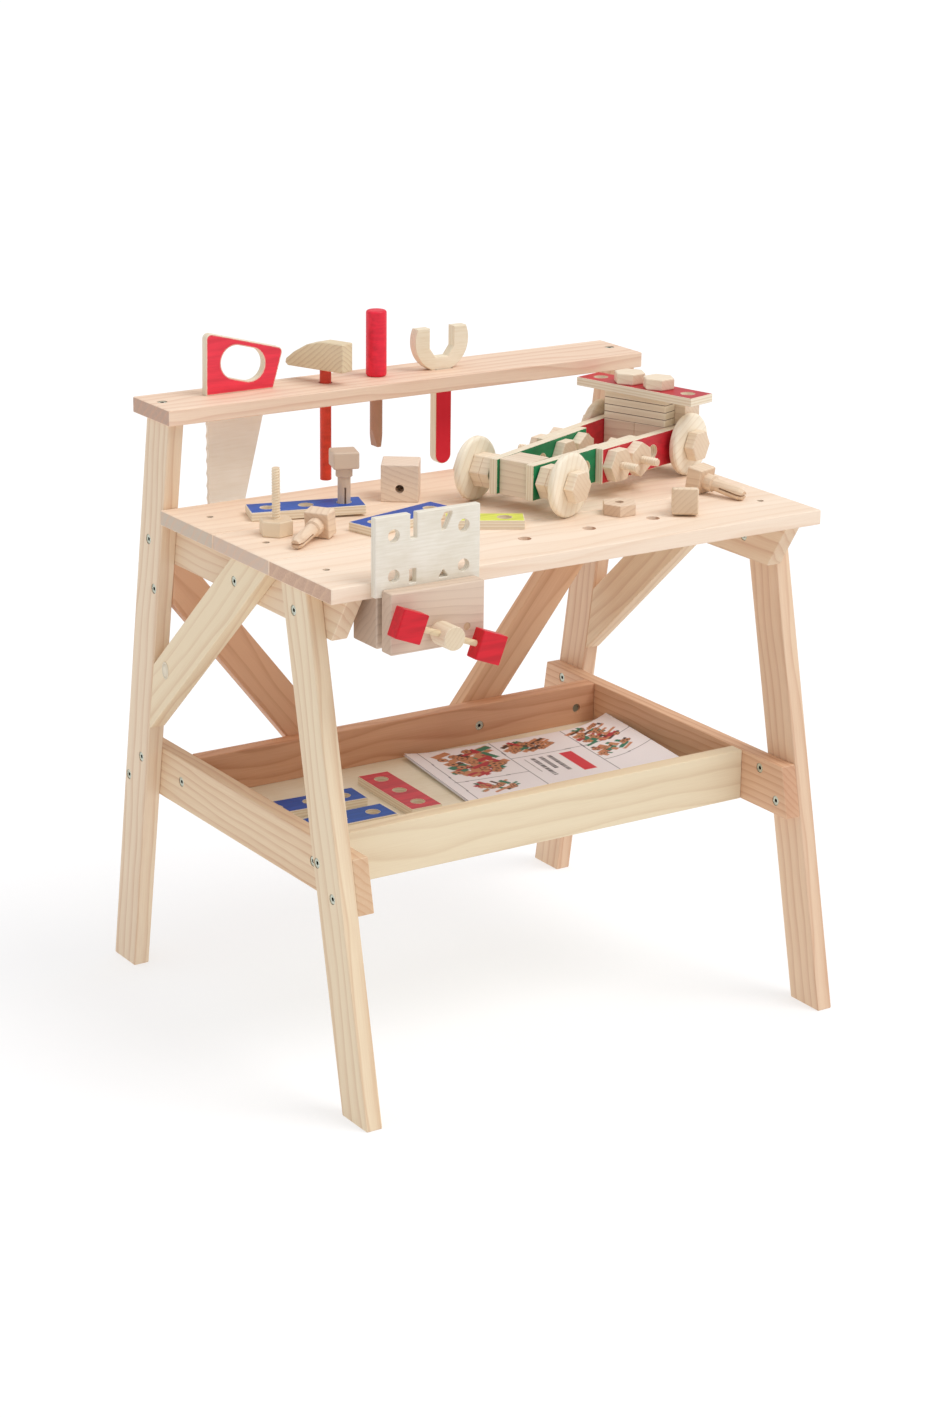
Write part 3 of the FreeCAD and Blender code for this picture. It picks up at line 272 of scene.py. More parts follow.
# scales of the noises along the grain and across it
WANDER, RIPPLE, FIBRE = (3.2, 11.0), (9.0, 60.0), (22.0, 900.0)
BAND, PORES = (1.4, 24.0), (60.0, 420.0)
RING_TILT = (0.72, 0.7)
WANDER_REACH = 0.055
RIPPLE_REACH = 0.0035
LATE_START, LATE_END, LATE_POWER = 0.25, 0.88, 2.2
RING_EDGE = 0.9
BUTT_FACING = (0.8, 0.95)


def wood(name, along, light, dark, seed, across, ring, waviness, contrast=0.34, rough=0.55,
         butt=None):
    """Solid wood: growth rings that wander along the grain, fibres, and slow changes of tone."""
    tree = Tree(name)
    place = grain_frame(tree, along, seed, across)
    wander = tree.streaks(place, WANDER)
    ripple = tree.streaks(place, RIPPLE)
    distance = tree.math("ADD", tree.math("MULTIPLY", place[1], RING_TILT[0]),
                         tree.math("MULTIPLY", place[2], RING_TILT[1]))
    distance = tree.math("ADD", distance, tree.math("MULTIPLY", wander, WANDER_REACH * waviness))
    distance = tree.math("ADD", distance, tree.math("MULTIPLY", ripple, RIPPLE_REACH))
    phase = tree.math("FRACT", tree.math("DIVIDE", distance, ring))
    late = tree.math("POWER", tree.remap(phase, LATE_START, LATE_END), LATE_POWER)
    fall = tree.remap(phase, RING_EDGE, 1.0, 1.0, 0.0)
    ring_tone = tree.math("MULTIPLY", late, fall)
    fibre = tree.streaks(place, FIBRE, 3.0, 0.6)
    band = tree.streaks(place, BAND)
    amount = tree.math("MULTIPLY", ring_tone, contrast)
    amount = tree.math("ADD", amount, tree.remap(fibre, 0.3, 0.75, -0.09, 0.12))
    amount = tree.math("ADD", amount, tree.remap(band, *SPREAD, -0.1, 0.24), clamp=True)
    pale_tone, dark_tone = linear(light, WOOD_CALM), linear(dark, WOOD_CALM)
    colour = tree.mix(amount, pale_tone, dark_tone)
    end = tree.remap(tree.facing(tuple(Vector(along).normalized())), *BUTT_FACING)
    pores = tree.streaks(place, PORES, 3.0, 0.6)
    butt_amount = tree.math("ADD", tree.math("MULTIPLY", ring_tone, 0.35),
                            tree.remap(pores, *SPREAD, 0.0, 0.4), clamp=True)
    butt_colour = tree.mix(butt_amount, linear(butt or dark, WOOD_CALM), dark_tone)
    colour = tree.mix(tree.math("MULTIPLY", end, 0.85 if butt else 0.4), colour, butt_colour)
    roughness = tree.remap(fibre, *SPREAD, rough - 0.06, rough + 0.1)
    height = tree.math("ADD", tree.math("MULTIPLY", fibre, 0.6),
                       tree.math("MULTIPLY", ring_tone, 0.4))
    return tree.finish(colour, roughness, height)


PLY_LAYER = 0.0016
PLY_SHIFT = (0.37, 0.53, 0.71)
PLY_FACING = (0.75, 0.95)


def plywood(tree, normal_axis, seed, pale, dark, step=PLY_LAYER, layers=0.45):
    """Colour and fibre of sanded plywood, its layers showing on the edges."""
    moved = tree.vector("ADD", tree.place, tuple(seed * shift for shift in PLY_SHIFT))
    depth = tree.vector("DOT_PRODUCT", moved, tuple(normal_axis), "Value")
    cloud = tree.noise(moved, 26.0, 3.0, 0.55)
    fibre = tree.noise(tree.vector("MULTIPLY", moved, (40.0, 500.0, 500.0)), 1.0)
    tone = tree.math("ADD", tree.remap(cloud, *SPREAD, 0.0, 0.35),
                     tree.remap(fibre, 0.35, 0.7, -0.05, 0.2), clamp=True)
    face = tree.mix(tone, linear(pale), linear(dark))
    layer = tree.remap(tree.math("PINGPONG", depth, step), step * 0.3, step * 0.7, 0.05, layers)
    edge = tree.mix(layer, linear(pale), linear(dark))
    flat = tree.remap(tree.facing(tuple(normal_axis)), *PLY_FACING)
    return tree.mix(flat, edge, face), fibre


PLY_ROUGH = 0.6
PLY_BUMP = 0.08
BARE_PALE, BARE_DARK = "f5ead6", "d2b892"
PAINT_LIMIT = (0.955, 0.99)
PAINT_SHADE = 0.78
BARE_ROUGH, PAINT_ROUGH = 0.62, 0.4


def painted(name, colour, axis, both, seed, everywhere, wear):
    """A painted face on bare wood: the paint stops at the rounded edges."""
    tree = Tree(name)
    axis = tuple(Vector(axis).normalized())
    bare, fibre = plywood(tree, axis, seed, BARE_PALE, BARE_DARK)
    bevel = tree.add("ShaderNodeBevel", {"Radius": wear}, samples=6)
    turned = tree.add("ShaderNodeVectorTransform", {0: bevel.outputs[0]}, vector_type="NORMAL",
                      convert_from="WORLD", convert_to="OBJECT")
    share = tree.vector("DOT_PRODUCT", turned.outputs[0], axis, "Value")
    if both:
        share = tree.math("ABSOLUTE", share)
    limit = tree.remap(tree.noise(tree.place, 420.0, 2.0, 0.6), *SPREAD, *PAINT_LIMIT)
    mask = tree.math("GREATER_THAN", share, limit)
    if everywhere:
        mask = tree.math("MAXIMUM", mask, 1.0)
    streak = tree.noise(tree.vector("MULTIPLY", tree.place, (18, 160, 160)), 1.0, 3.0, 0.55)
    full = linear(colour)
    thin = tuple(c * PAINT_SHADE for c in full[:3]) + (1.0,)
    paint = tree.mix(tree.remap(streak, 0.35, 0.65), full, thin)
    made = tree.mix(mask, bare, paint)
    rough = tree.remap(mask, 0.0, 1.0, BARE_ROUGH, PAINT_ROUGH)
    height = tree.math("ADD", fibre, tree.math("MULTIPLY", streak, 0.5))
    return tree.finish(made, rough, height, 0.1)


ZINC_SHADE = "8d9484"
# painted shade: the near-black colour laid into the hollows of zinc parts
HOLLOW_SHADE_COLOUR = "1d2019"
METALLIC = 0.6


def metal(name, tone, shade_reach):
    """Zinc plate; its hollows get painted shade, darkened towards near black where ambient
    occlusion finds them; the last argument is how far a hollow reaches for that painted shade to
    count.
    """
    tree = Tree(name)
    spots = tree.noise(tree.place, 900.0, 3.0, 0.6)
    colour = tree.mix(tree.remap(spots, 0.35, 0.75), linear(tone), linear(ZINC_SHADE))
    # painted shade: where ambient occlusion finds a hollow, the zinc is darkened towards near black
    if shade_reach:
        hollow_shade = tree.add("ShaderNodeAmbientOcclusion", {"Distance": shade_reach}, samples=8).outputs["AO"]
        colour = tree.mix(tree.remap(hollow_shade, 0.5, 0.85), linear(HOLLOW_SHADE_COLOUR), colour)
    tree.shader.inputs["Metallic"].default_value = METALLIC
    return tree.finish(colour, tree.remap(spots, *SPREAD, 0.28, 0.5), spots, 0.08)


def dress(name, material):
    item = nodes[name]
    item.data.materials.clear()
    item.data.materials.append(material)


# ---------------------------------------------------------------- frame timber

REAR_LEAN = (0, -0.1662, 1)
FRONT_LEAN = (0, 0.22, 1)
TIMBER = {
    # node: (grain, across the face, light, dark, seed, ring, waviness)
    "leg_rear_left": (REAR_LEAN, (1, 0, 0), "f2d9b9", "d09a6c", 11, 0.010, 0.5),
    "leg_front_left": (FRONT_LEAN, (1, 0, 0), "f3dcb8", "d2a070", 12, 0.011, 0.5),
    "leg_rear_right": (REAR_LEAN, (1, 0, 0), "efcdaa", "c98c62", 13, 0.009, 0.5),
    "leg_front_right": (FRONT_LEAN, (1, 0, 0), "efcdaa", "cb8f65", 14, 0.009, 0.5),
    "top_rail_left": ((0, 1, 0), (1, 0, 0), "efd3b0", "cc9468", 15, 0.009, 0.6),
    "top_rail_right": ((0, 1, 0), (1, 0, 0), "efd3b0", "cc9468", 16, 0.009, 0.6),
    "tray_side_left": ((0, 1, 0), (1, 0, 0), "f0d2ab", "cb9160", 17, 0.007, 0.4),
    "tray_side_right": ((0, 1, 0), (1, 0, 0), "eabd94", "bf7a50", 18, 0.006, 0.3),
    "side_brace_left": ((0, -1, 0.9076), (1, 0, 0), "f3dcb6", "d6a877", 19, 0.012, 0.5),
    "side_brace_right": ((0, -1, 0.9076), (1, 0, 0), "f0d3ac", "d09e70", 20, 0.012, 0.5),
    "back_brace_left": ((-1, 0, 1.257), (0, 1, 0), "eab58a", "c07a4c", 21, 0.013, 0.8),
    "back_brace_right": ((1, 0, 1.257), (0, 1, 0), "ecbd92", "c68455", 22, 0.012, 0.7),
    "tray_front": ((1, 0, 0), (0, 1, 0), "efdcb8", "d6b68c", 23, 0.016, 0.7),
    "tray_rear": ((1, 0, 0), (0, 1, 0), "e9b288", "bf7548", 24, 0.014, 1.2),
    "table_board_front": ((1, 0, 0), (0, 0, 1), "fde6ce", "e8bf9a", 25, 0.014, 0.9),
    "table_board_middle": ((1, 0, 0), (0, 0, 1), "fbe2c8", "e4b894", 26, 0.013, 0.9),
    "table_board_rear": ((1, 0, 0), (0, 0, 1), "fbe0c4", "e2b48e", 27, 0.013, 0.9),
    "rack_board": ((1, 0, 0), (0, 0, 1), "fadcc0", "dba482", 28, 0.010, 0.8),
}
ENDS = {"rack_board": "b4917e", "table_board_front": "c08f72", "table_board_middle": "cdb4a2",
        "table_board_rear": "c4b8a8", "leg_rear_left": "c9a78c", "leg_front_left": "c9a78c"}
TABLE_CONTRAST, TIMBER_CONTRAST = 0.26, 0.38
for name, (grain, across, light, dark, seed, ring, waves) in TIMBER.items():
    contrast = TABLE_CONTRAST if name.startswith("table_board") else TIMBER_CONTRAST
    dress(name, wood("pine_" + name, grain, light, dark, seed, across, ring, waves, contrast,
                     butt=ENDS.get(name)))

PLYWOOD = {
    # node: (material, face's axis, seed, pale, dark, layer)
    "tray_bottom": ("plywood_tray", (0, 0, 1), 3, "f4eedb", "ddd0b0", PLY_LAYER),
    "template_board": ("plywood_template", (0, 1, 0), 5, "f2ece0", "d0c4aa", 0.0014),
    "saw_blade": ("plywood_saw", (0, 1, 0), 7, "fffaf0", "efe4d2", PLY_LAYER),
}
for name, (material, axis, seed, pale, dark, step) in PLYWOOD.items():
    tree = Tree(material)
    colour, fibre = plywood(tree, axis, seed, pale, dark, step)
    dress(name, tree.finish(colour, PLY_ROUGH, fibre, PLY_BUMP))

# node: (zinc tone, how far hollows reach for their painted shade; None: no painted shade)
ZINC = {"frame_bolts": ("e2e6d6", 0.004), "barrel_nuts": ("9aa092", None),
        "table_screws": ("9a968a", None)}
for name, (tone, shade_reach) in ZINC.items():
    dress(name, metal("zinc_" + name, tone, shade_reach))

# ---------------------------------------------------------------- vise, tools and toys

SMALL = {
    # node: (grain, light, dark, seed, ring, waviness)
    "vise_fixed_jaw": ((1, 0, 0.05), "dcc2aa", "ae8f78", 31, 0.006, 0.4),
    "vise_moving_jaw": ((1, 0, -0.05), "e2c8b0", "bb9a80", 32, 0.006, 0.4),
    "vise_guide_rods": ((0, 1, 0), "e6c9a0", "b98c5e", 33, 0.004, 0.2),
    "vise_screw": ((0, 1, 0), "f3e2c4", "d6b68c", 34, 0.004, 0.2),
    "vise_cross_dowel": ((1, 0, 0.3), "ead2a6", "c49c6c", 35, 0.004, 0.2),
    "hammer_head": ((1, -0.4, 0), "ead5ae", "b98a5c", 36, 0.0042, 0.25),
    "hex_bolt_standing": ((0, 0, 1), "f6e2c2", "d4ae84", 37, 0.005, 0.2),
    "hex_nut_loose": ((1, 0.4, 0), "efd3b6", "c9a07e", 38, 0.005, 0.3),
    "peg_standing": ((0, 0, 1), "e6cdb4", "bd9a7e", 39, 0.005, 0.3),
    "peg_lying_left": ((-0.8, -0.56, 0), "f2d6b8", "cda481", 40, 0.005, 0.3),
    "peg_lying_front": ((0.55, 0.83, 0), "f2d8b8", "cca47c", 41, 0.005, 0.3),
    "peg_lying_right": ((0.3, -0.95, 0), "f2d6b6", "cca27c", 42, 0.005, 0.3),
    "block_loose": ((0.5, -0.8, 0), "f4dec8", "cfac90", 43, 0.0045, 0.3),
    "wheel_front_near": ((0.3, 0.1, 1), "fdf0d8", "e2c8a4", 44, 0.006, 0.3),
    "wheel_front_far": ((0.5, 0.1, 1), "fdf0d8", "e2c8a4", 45, 0.006, 0.3),
    "wheel_rear_near": ((1, 0.4, 0.5), "fdf0d8", "e2c8a4", 46, 0.006, 0.3),
    "wheel_rear_far": ((1, 0.4, -0.5), "fdf0d8", "e2c8a4", 47, 0.006, 0.3),
    "car_blocks": ((0.36, -0.93, 0), "f2dec4", "cfac8c", 48, 0.005, 0.3),
    "car_bolts": ((0.36, -0.93, 0), "f8e4c8", "dab690", 49, 0.005, 0.3),
    "car_nuts": ((0.36, -0.93, 0), "f7e2c6", "d8b490", 50, 0.005, 0.3),
    "screwdriver_shaft": ((0, 0, 1), "c9987a", "94644c", 51, 0.004, 0.2),
}
SMALL_CONTRAST, SMALL_ROUGH = 0.32, 0.5
toy = {}
for name, (grain, light, dark, seed, ring, waves) in SMALL.items():
    toy[name] = wood("toy_" + name, grain, light, dark, seed, None, ring, waves, SMALL_CONTRAST,
                     SMALL_ROUGH)
    dress(name, toy[name])

CAR_SIDE = (-0.3584, 0.9336, 0)
EDGE_WEAR, SAW_WEAR = 0.0012, 0.0025
PAINT = {
    # node: (colour, painted face's axis, both faces, every side)
    "vise_knob_blocks": ("da1428", (0, 1, 0), True, True),
    "saw_handle": ("fb3c52", (0, -1, 0), False, False),
    "hammer_handle": ("e2452e", (0, 0, 1), True, True),
    "screwdriver_handle": ("fa2844", (0, 0, 1), True, True),
    "plank_blue_pegged": ("1656ba", (0, 0, 1), False, False),
    "plank_blue_loose": ("1656ba", (0, 0, 1), False, False),
    "planks_tray_blue": ("1656ba", (0, 0, 1), False, False),
    "plank_yellow": ("e9ee62", (0, 0, 1), False, False),
    "plank_tray_red": ("d9404e", (0, 0, 1), False, False),
    "car_planks_green": ("1f8a58", CAR_SIDE, True, False),
    "car_planks_red": ("d42c3a", CAR_SIDE, True, False),
    "car_spoiler": ("cc2f3c", (0, 0, 1), False, False),
}
for number, (name, (tone, axis, both, everywhere)) in enumerate(PAINT.items()):
    wear = SAW_WEAR if name == "saw_handle" else EDGE_WEAR
    dress(name, painted("paint_" + name, tone, axis, both, number, everywhere, wear))

# the seat of the car: planks of equal thickness, with dark seams between them
STACK_PLANKS = 4
SEAM_HALF, SEAM_DARKNESS, SEAM_COLOUR = 0.00045, 0.8, "6b4a34"
tree = Tree("plywood_stack")
colour, fibre = plywood(tree, (0, 0, 1), 8, "f8ecd6", "dcc8a4", 0.0041, 0.3)
stack_low, stack_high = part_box("car_stack")
level = tree.level()
plank = (stack_high.z - stack_low.z) / STACK_PLANKS
seam = tree.math("PINGPONG", tree.math("SUBTRACT", level, stack_low.z), plank / 2)
seam = tree.math("LESS_THAN", seam, SEAM_HALF)
colour = tree.mix(tree.math("MULTIPLY", seam, SEAM_DARKNESS), colour, linear(SEAM_COLOUR))
dress("car_stack", tree.finish(colour, PLY_ROUGH, fibre, PLY_BUMP))

# wrench: bare head, and a red grip under the rack's top
GRIP_COLOUR, GRIP_GAP, GRIP_FACING = "e0213a", 0.001, 0.94
tree = Tree("paint_wrench")
bare, fibre = plywood(tree, (0, 1, 0), 9, "f6ead4", "dcc49c")
level = tree.level()
rack_low, rack_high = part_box("rack_board")
below = tree.math("LESS_THAN", level, rack_high.z - GRIP_GAP)
front = tree.math("GREATER_THAN", tree.facing((0, -1, 0), False), GRIP_FACING)
mask = tree.math("MULTIPLY", below, front)
dress("wrench", tree.finish(tree.mix(mask, bare, linear(GRIP_COLOUR)), 0.5, fibre, PLY_BUMP))

# ---------------------------------------------------------------- threads

THREAD_PITCH = 0.0030
THREAD_DEPTH = 0.0009
THREAD_TIP = 0.0004
THREAD_SIDES = 24
THREAD_RINGS = 8  # rings of points in one turn
THREAD_SUNK = 0.001  # how far the thread starts inside the head

HEAD_CUT, HEAD_CUT_SIDE, HEAD_CUT_HALF = 0.0012, 0.0006, 0.0011
HEAD_ROUND = 0.0013
HEAD_ROUND_RISE, HEAD_ROUND_INSET = 0.0004, 0.0005

END_SLICE = 0.004  # the part of a bolt's end that tells its head from its tip
END_SKIN = 0.0003
THREAD_FROM = 0.6  # past this share of a bolt's length only the thread is left
HEAD_SHARE = 1.5  # the head is wider than the thread by more than this


def thread_points(radius, length):
    """A single-start thread as rings of points, on its own Z axis from 0 to length."""
    rings = int(length / THREAD_PITCH * THREAD_RINGS)
    points = []
    for level in range(rings + 1):
        z = length * level / rings
        fade = min(1.0, (length - z) / THREAD_PITCH)
        for step in range(THREAD_SIDES):
            turn = step / THREAD_SIDES
            phase = (z / THREAD_PITCH - turn) % 1.0
            crest = abs(phase - 0.5) * 2
            reach = radius - THREAD_DEPTH * (1 - crest) - THREAD_TIP * (1 - fade)
            points.append((reach * math.cos(math.tau * turn), reach * math.sin(math.tau * turn), z))
    return points, tube(rings + 1, THREAD_SIDES)


def head_points(corner, thick):
    """A hexagonal head with eased corners and a rounded outer edge, from Z 0 to thick."""
    outline = []
    for number in range(6):
        at = Vector((math.cos(math.tau * number / 6), math.sin(math.tau * number / 6)))
        tangent = Vector((-at.y, at.x))
        for offset in (-1, 0, 1):
            outline.append(at * (corner - HEAD_CUT - HEAD_CUT_SIDE * abs(offset))
                           + tangent * HEAD_CUT_HALF * offset)
    levels = ((0.0, HEAD_ROUND), (HEAD_ROUND_RISE, HEAD_ROUND_INSET), (HEAD_ROUND, 0.0),
              (thick - HEAD_ROUND, 0.0), (thick - HEAD_ROUND_RISE, HEAD_ROUND_INSET),
              (thick, HEAD_ROUND))
    points = []
    for z, inset in levels:
        for spot in outline:
            points.append((*(spot * (1 - inset / corner)), z))
    return points, tube(len(levels), len(outline))


def bolt_frame(points):
    """Where a CAD bolt sits: a matrix with Z from its head to its tip, and its sizes."""
    middle = points.mean(0)
    values, vectors = np.linalg.eigh(np.cov((points - middle).T))
    axis = vectors[:, -1]
    along = (points - middle) @ axis
    spread = [np.linalg.norm(np.cross(points[sel] - middle, axis), axis=1).max()
              for sel in (along < along.min() + END_SLICE, along > along.max() - END_SLICE)]
    if spread[1] > spread[0]:
        axis, along = -axis, -along
    head = points[along < along.min() + END_SKIN].mean(0)
    tip = points[along > along.max() - END_SKIN].mean(0)
    z = Vector(tip - head).normalized()
    along = (points - head) @ np.array(z)
    out = points - head - np.outer(along, np.array(z))
    reach = np.linalg.norm(out, axis=1)
    x = Vector(out[reach.argmax()]).normalized()
    y = z.cross(x)
    thread = reach[along > along.max() * THREAD_FROM].max()
    thick = along[reach > thread * HEAD_SHARE].max()
    place = Matrix(((x.x, y.x, z.x, head[0]), (x.y, y.y, z.y, head[1]), (x.z, y.z, z.z, head[2]),
                    (0, 0, 0, 1)))
    return place, float(reach.max()), float(thick), float(thread), float(along.max())


def threaded(name, node, body, material):
    """Bolts with real threads in place of a CAD node's plain ones."""
    points, faces = [], []
    for solid in islands(node):
        place, corner, thick, thread, length = bolt_frame(solid)
        shank, shank_faces = thread_points(thread, length - thick + THREAD_SUNK)
        shank = [(x, y, z + thick - THREAD_SUNK) for x, y, z in shank]
        for part_points, part_faces in (head_points(corner, thick), (shank, shank_faces)):
            start = len(points)
            points += [tuple(place @ Vector(p)) for p in part_points]
            faces += [tuple(i + start for i in face) for face in part_faces]
    made = mesh_object(name, points, faces, material, smooth=False)
    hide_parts(node)
    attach(made, body)


threaded("standing_bolt", "hex_bolt_standing", "hex_bolt", toy["hex_bolt_standing"])
threaded("car_bolts_threaded", "car_bolts", "car", toy["car_bolts"])

# ---------------------------------------------------------------- booklet

BOOK_U = Vector((0.9976, -0.0698, 0))
BOOK_V = Vector((-0.12, -0.9928, 0))
BOOK_LEFT = 0.026
BOOK_SIZE = (0.271, 0.212)
BEND_START, BEND_SKEW, BEND_RADIUS, BEND_EASE = 0.214, 0.02, 0.125, 0.35
CURL_WIDTH, CURL_RISE, CURL_EASE, CURL_FADE = 0.05, 0.0045, 0.5, 0.17
WAVE_RISE, WAVE_S, WAVE_T = 0.0006, 31, 9
BOOK_CLEAR = 0.0008
low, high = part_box("booklet")
BOOK_CORNER = Vector((low.x + BOOK_LEFT, high.y, low.z))


def book_point(s, t, lift):
    """A place on the curled booklet: s along its back edge, t towards the front."""
    start = BEND_START - BEND_SKEW * t / BOOK_SIZE[1]
    over = max(0.0, s - start)
    flat = min(s, start) + BEND_RADIUS * math.sin(over / BEND_RADIUS)
    rise = BEND_RADIUS * (1 - math.cos(over / BEND_RADIUS)) * (1 - BEND_EASE * t / BOOK_SIZE[1])
    curl = max(0.0, 1 - s / CURL_WIDTH) ** 2 * CURL_RISE * (1 - CURL_EASE * min(1.0, t / CURL_FADE))
    wave = WAVE_RISE * math.sin(WAVE_S * s + WAVE_T * t) * min(1.0, s / CURL_WIDTH)
    height = BOOK_CLEAR + rise + curl + wave + lift
    return BOOK_CORNER + BOOK_U * flat + BOOK_V * t + Vector((0, 0, height))


def sheet_mesh(name, s0, s1, t0, t1, lift, thick, step, material):
    """A thin closed sheet of the booklet, with the count of its cells both ways."""
    across = max(2, int((s1 - s0) / step))
    down = max(2, int((t1 - t0) / step))
    points = []
    for layer in (0, 1):
        for j in range(down + 1):
            for i in range(across + 1):
                points.append(book_point(s0 + (s1 - s0) * i / across, t0 + (t1 - t0) * j / down,
                                         lift + thick * layer))
    row = across + 1
    top = row * (down + 1)
    faces = []
    for j in range(down):
        for i in range(across):
            a = j * row + i
            faces.append((a + top, a + top + row, a + top + row + 1, a + top + 1))
            faces.append((a, a + 1, a + row + 1, a + row))
    rim = list(range(across))
    rim += [across + j * row for j in range(down)]
    rim += [down * row + across - i for i in range(across)]
    rim += [(down - j) * row for j in range(down)]
    for number, a in enumerate(rim):
        b = rim[(number + 1) % len(rim)]
        faces.append((a, a + top, b + top, b))
    made = mesh_object(name, points, faces, material)
    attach(made, "booklet")
    return made, across, down


PAPER_WHITE, PAPER_SHADE = (0.97, 0.96, 1.0, 1), (0.92, 0.91, 0.97, 1)
PAPER_COAT, PAPER_COAT_ROUGH = 0.25, 0.25


def paper_material(name, printed):
    tree = Tree(name)
    fibre = tree.noise(tree.place, 1500.0, 2.0, 0.6)
    white = tree.mix(tree.remap(fibre, *SPREAD), PAPER_WHITE, PAPER_SHADE)
    if printed:
        ink = tree.add("ShaderNodeVertexColor", {}, layer_name="ink").outputs[0]
        white = tree.mix(1.0, white, ink, "MULTIPLY")
    tree.shader.inputs["Coat Weight"].default_value = PAPER_COAT
    tree.shader.inputs["Coat Roughness"].default_value = PAPER_COAT_ROUGH
    return tree.finish(white, 0.5, fibre, 0.04)


# the page's print: s and t in metres, colours linear
PAGE_S, PAGE_T = BOOK_SIZE
RULE_COLOUR, RULE_HALF = (0.22, 0.22, 0.25), 0.0006
RULES = (((0.017, 0), (0.012, PAGE_T)), ((0.110, 0), (0.108, PAGE_T)),
         ((0.206, 0), (0.204, PAGE_T)), ((0.012, 0.108), (0.108, 0.106)),
         ((0.110, 0.060), (PAGE_S, 0.058)), ((0.204, 0.112), (PAGE_S, 0.110)))
TAN, RED = (0.62, 0.27, 0.13), (0.5, 0.03, 0.05)
GREEN, DARK = (0.02, 0.22, 0.13), (0.06, 0.03, 0.02)
BLOCK_COLOURS = (TAN, TAN, TAN, RED, GREEN, DARK)
PICTURES = (
    # middle s, middle t, half width, half depth, count of blocks
    (0.062, 0.052, 0.040, 0.046, 60), (0.150, 0.030, 0.032, 0.018, 34),
    (0.234, 0.034, 0.026, 0.032, 44), (0.055, 0.135, 0.026, 0.016, 24),
    (0.232, 0.085, 0.026, 0.015, 24))
PICTURE_FILL = 0.8
WHEELS = ((0.16, DARK), (0.14, TAN), (0.05, DARK))
TEXT_LINES = ((0.150, 0.052), (0.139, 0.040), (0.128, 0.060), (0.118, 0.044))
TEXT_START, TEXT_GAP, TEXT_SHIFT = 0.068, 0.0006, 0.004
TEXT_WORD = (0.0025, 0.0045)
TITLE_HALF, SMALL_HALF, SMALL_BELOW = 0.0028, 0.0008, 0.12
TEXT_COLOUR = (0.01, 0.01, 0.015)
LABEL, LABEL_COLOUR = (0.176, 0.100, 0.008, 0.032), (0.78, 0.03, 0.06)


def draw_page(across, down):
    """The page's picture: panels ruled in grey, simple block toys, and plain bars for text."""
    s, t = np.meshgrid(np.linspace(0, PAGE_S, across + 1), np.linspace(0, PAGE_T, down + 1))
    ink = np.ones(s.shape + (3,))

    def box(cx, cy, half_s, half_t, turn, colour):
        c, d = math.cos(turn), math.sin(turn)
        a = (s - cx) * c + (t - cy) * d
        b = -(s - cx) * d + (t - cy) * c
        ink[(abs(a) < half_s) & (abs(b) < half_t)] = colour

    def disc(cx, cy, radius, colour):
        ink[(s - cx) ** 2 + (t - cy) ** 2 < radius ** 2] = colour

    for a, b in RULES:
        a, b = Vector(a), Vector(b)
        box((a.x + b.x) / 2, (a.y + b.y) / 2, (b - a).length / 2, RULE_HALF,
            math.atan2(b.y - a.y, b.x - a.x), RULE_COLOUR)
    rng = random.Random(5)
    for cx, cy, wide, deep, count in PICTURES:
        turn = rng.uniform(-0.6, -0.3)
        for _ in range(count):
            x = cx + rng.uniform(-1, 1) * wide * PICTURE_FILL
            y = cy + rng.uniform(-1, 1) * deep * PICTURE_FILL
            box(x, y, rng.uniform(0.15, 0.4) * wide, rng.uniform(0.06, 0.13) * wide,
                turn + rng.choice((0, 0, math.pi / 2)), rng.choice(BLOCK_COLOURS))
        for _ in range(count // 4):
            x = cx + rng.uniform(-1, 1) * wide * PICTURE_FILL
            y = cy + rng.uniform(-1, 1) * deep * PICTURE_FILL
            for share, colour in WHEELS:
                disc(x, y, share * wide, colour)
    for column, length in TEXT_LINES:
        y = TEXT_START
        half = TITLE_HALF if column > SMALL_BELOW else SMALL_HALF
        while y < TEXT_START + length:
            run = rng.uniform(*TEXT_WORD)
            box(column + TEXT_SHIFT, y + run / 2, half, run / 2 - TEXT_GAP, 0.0, TEXT_COLOUR)
            y += run
    box(*LABEL, 0.0, LABEL_COLOUR)
    return ink


COVER_LIFT, COVER_THICK, COVER_STEP = 0.0016, 0.00035, 0.0011
PAGES_INSET, PAGES_LIFT, PAGES_THICK = 0.001, 0.0003, 0.0011
BACK_SHIFT, BACK_LIFT, BACK_THICK = 0.001, -0.0004, 0.0004
PLAIN_STEP = 0.006
cover, across, down = sheet_mesh("booklet_cover", 0.0, PAGE_S, 0.0, PAGE_T, COVER_LIFT, COVER_THICK,
                                 COVER_STEP, paper_material("paper_printed", True))
layer = cover.data.color_attributes.new("ink", "FLOAT_COLOR", "POINT")
ink = draw_page(across, down).reshape(-1, 3)
colours = np.ones((2 * len(ink), 4), np.float32)
colours[len(ink):, :3] = ink
layer.data.foreach_set("color", colours.ravel())
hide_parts("booklet")
plain = paper_material("paper_plain", False)
sheet_mesh("booklet_pages", 0.0012, PAGE_S - PAGES_INSET, PAGES_INSET, PAGE_T - PAGES_INSET,
           PAGES_LIFT, PAGES_THICK, PLAIN_STEP, plain)
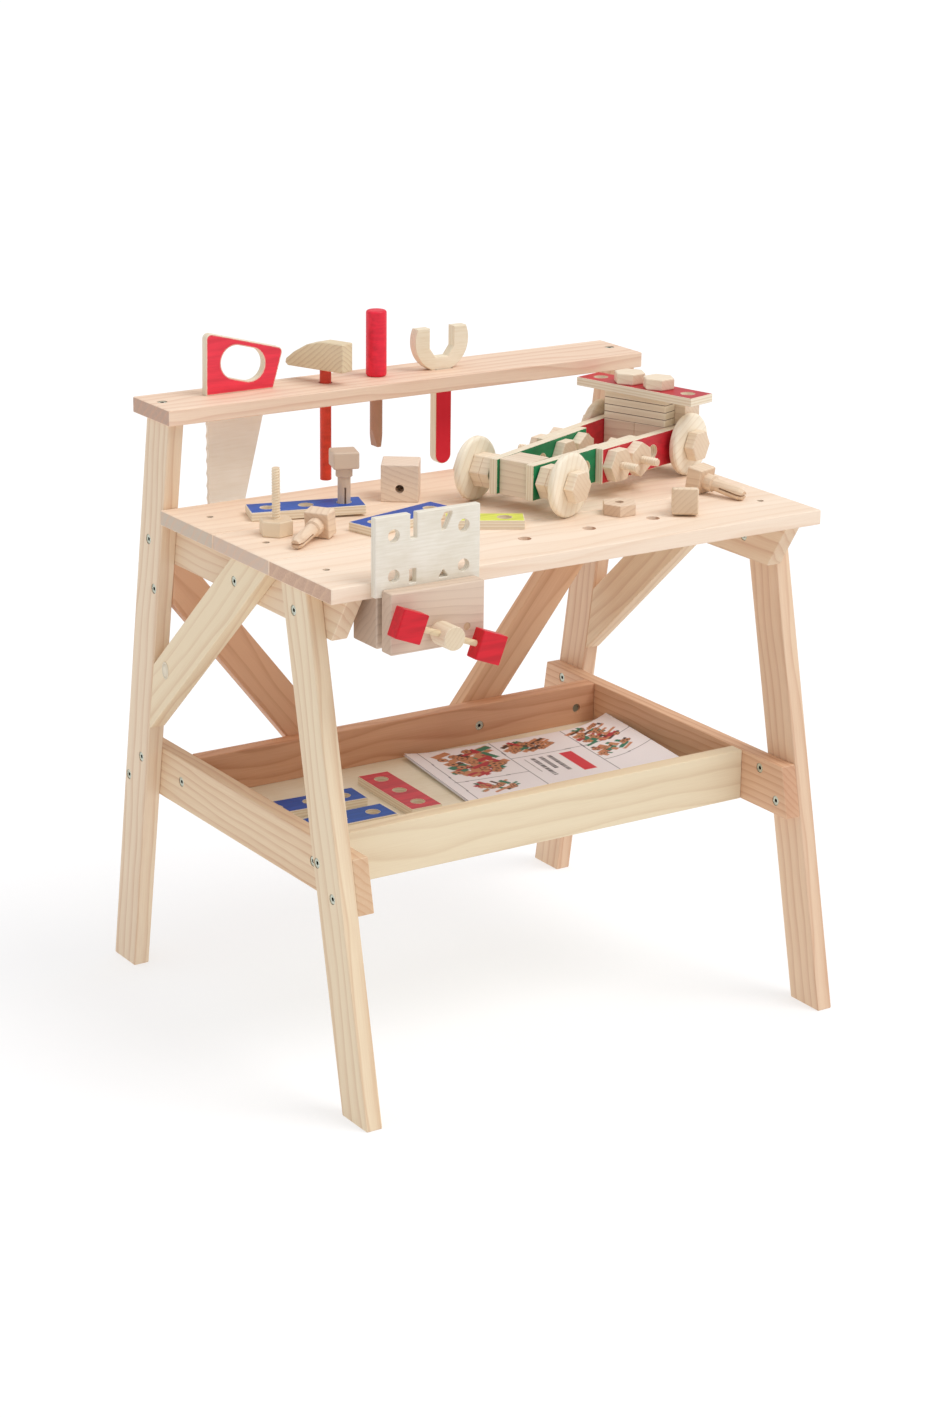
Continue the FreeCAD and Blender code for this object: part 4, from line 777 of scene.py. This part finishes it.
sheet_mesh("booklet_back", -BACK_SHIFT, PAGE_S - 2 * BACK_SHIFT, 0.0, PAGE_T, BACK_LIFT, BACK_THICK,
           PLAIN_STEP, plain)

# ---------------------------------------------------------------- plug in the left brace

PLUG_NARROW, PLUG_TALL = 0.85, 1.15
PLUG_SIDES = 32
PLUG_RINGS = (
    # radius, how far it stands out
    (0.0085, 0.0), (0.0085, 0.0004), (0.0072, 0.0006), (0.0070, 0.0001), (0.0062, 0.0001),
    (0.0060, 0.0006), (0.0030, 0.0008))
brace_low, brace_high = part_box("side_brace_left")
PLUG = Vector((brace_low.x, 0.1405, 0.3770))
plug_points = []
for radius, proud in PLUG_RINGS:
    for step in range(PLUG_SIDES):
        turn = math.tau * step / PLUG_SIDES
        plug_points.append((PLUG.x - proud, PLUG.y + PLUG_NARROW * radius * math.cos(turn),
                            PLUG.z + PLUG_TALL * radius * math.sin(turn)))
plug = mesh_object("brace_plug", plug_points, tube(len(PLUG_RINGS), PLUG_SIDES, turned=True),
                   wood("toy_plug", (0, 0, 1), "efe2c8", "b59c78", 61, None, 0.004, 0.2))
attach(plug, "bench")

# ---------------------------------------------------------------- floor

FLOOR_REACH = 40
FLOOR_GREY, FLOOR_PALE = (0.40, 0.40, 0.41, 1), (0.42, 0.42, 0.43, 1)
FLOOR_ROUGH, FLOOR_GLOW = 0.9, 0.60
tree = Tree("floor")
grit = tree.noise(tree.place, 3.0)
floor_paint = tree.finish(tree.mix(grit, FLOOR_GREY, FLOOR_PALE), FLOOR_ROUGH)
tree.shader.inputs["Emission Color"].default_value = WHITE
tree.shader.inputs["Emission Strength"].default_value = FLOOR_GLOW
corners = [(-FLOOR_REACH, -FLOOR_REACH, 0), (FLOOR_REACH, -FLOOR_REACH, 0),
           (FLOOR_REACH, FLOOR_REACH, 0), (-FLOOR_REACH, FLOOR_REACH, 0)]
floor = mesh_object("floor", corners, [(0, 1, 2, 3)], floor_paint)
floor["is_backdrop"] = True

low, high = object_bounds()
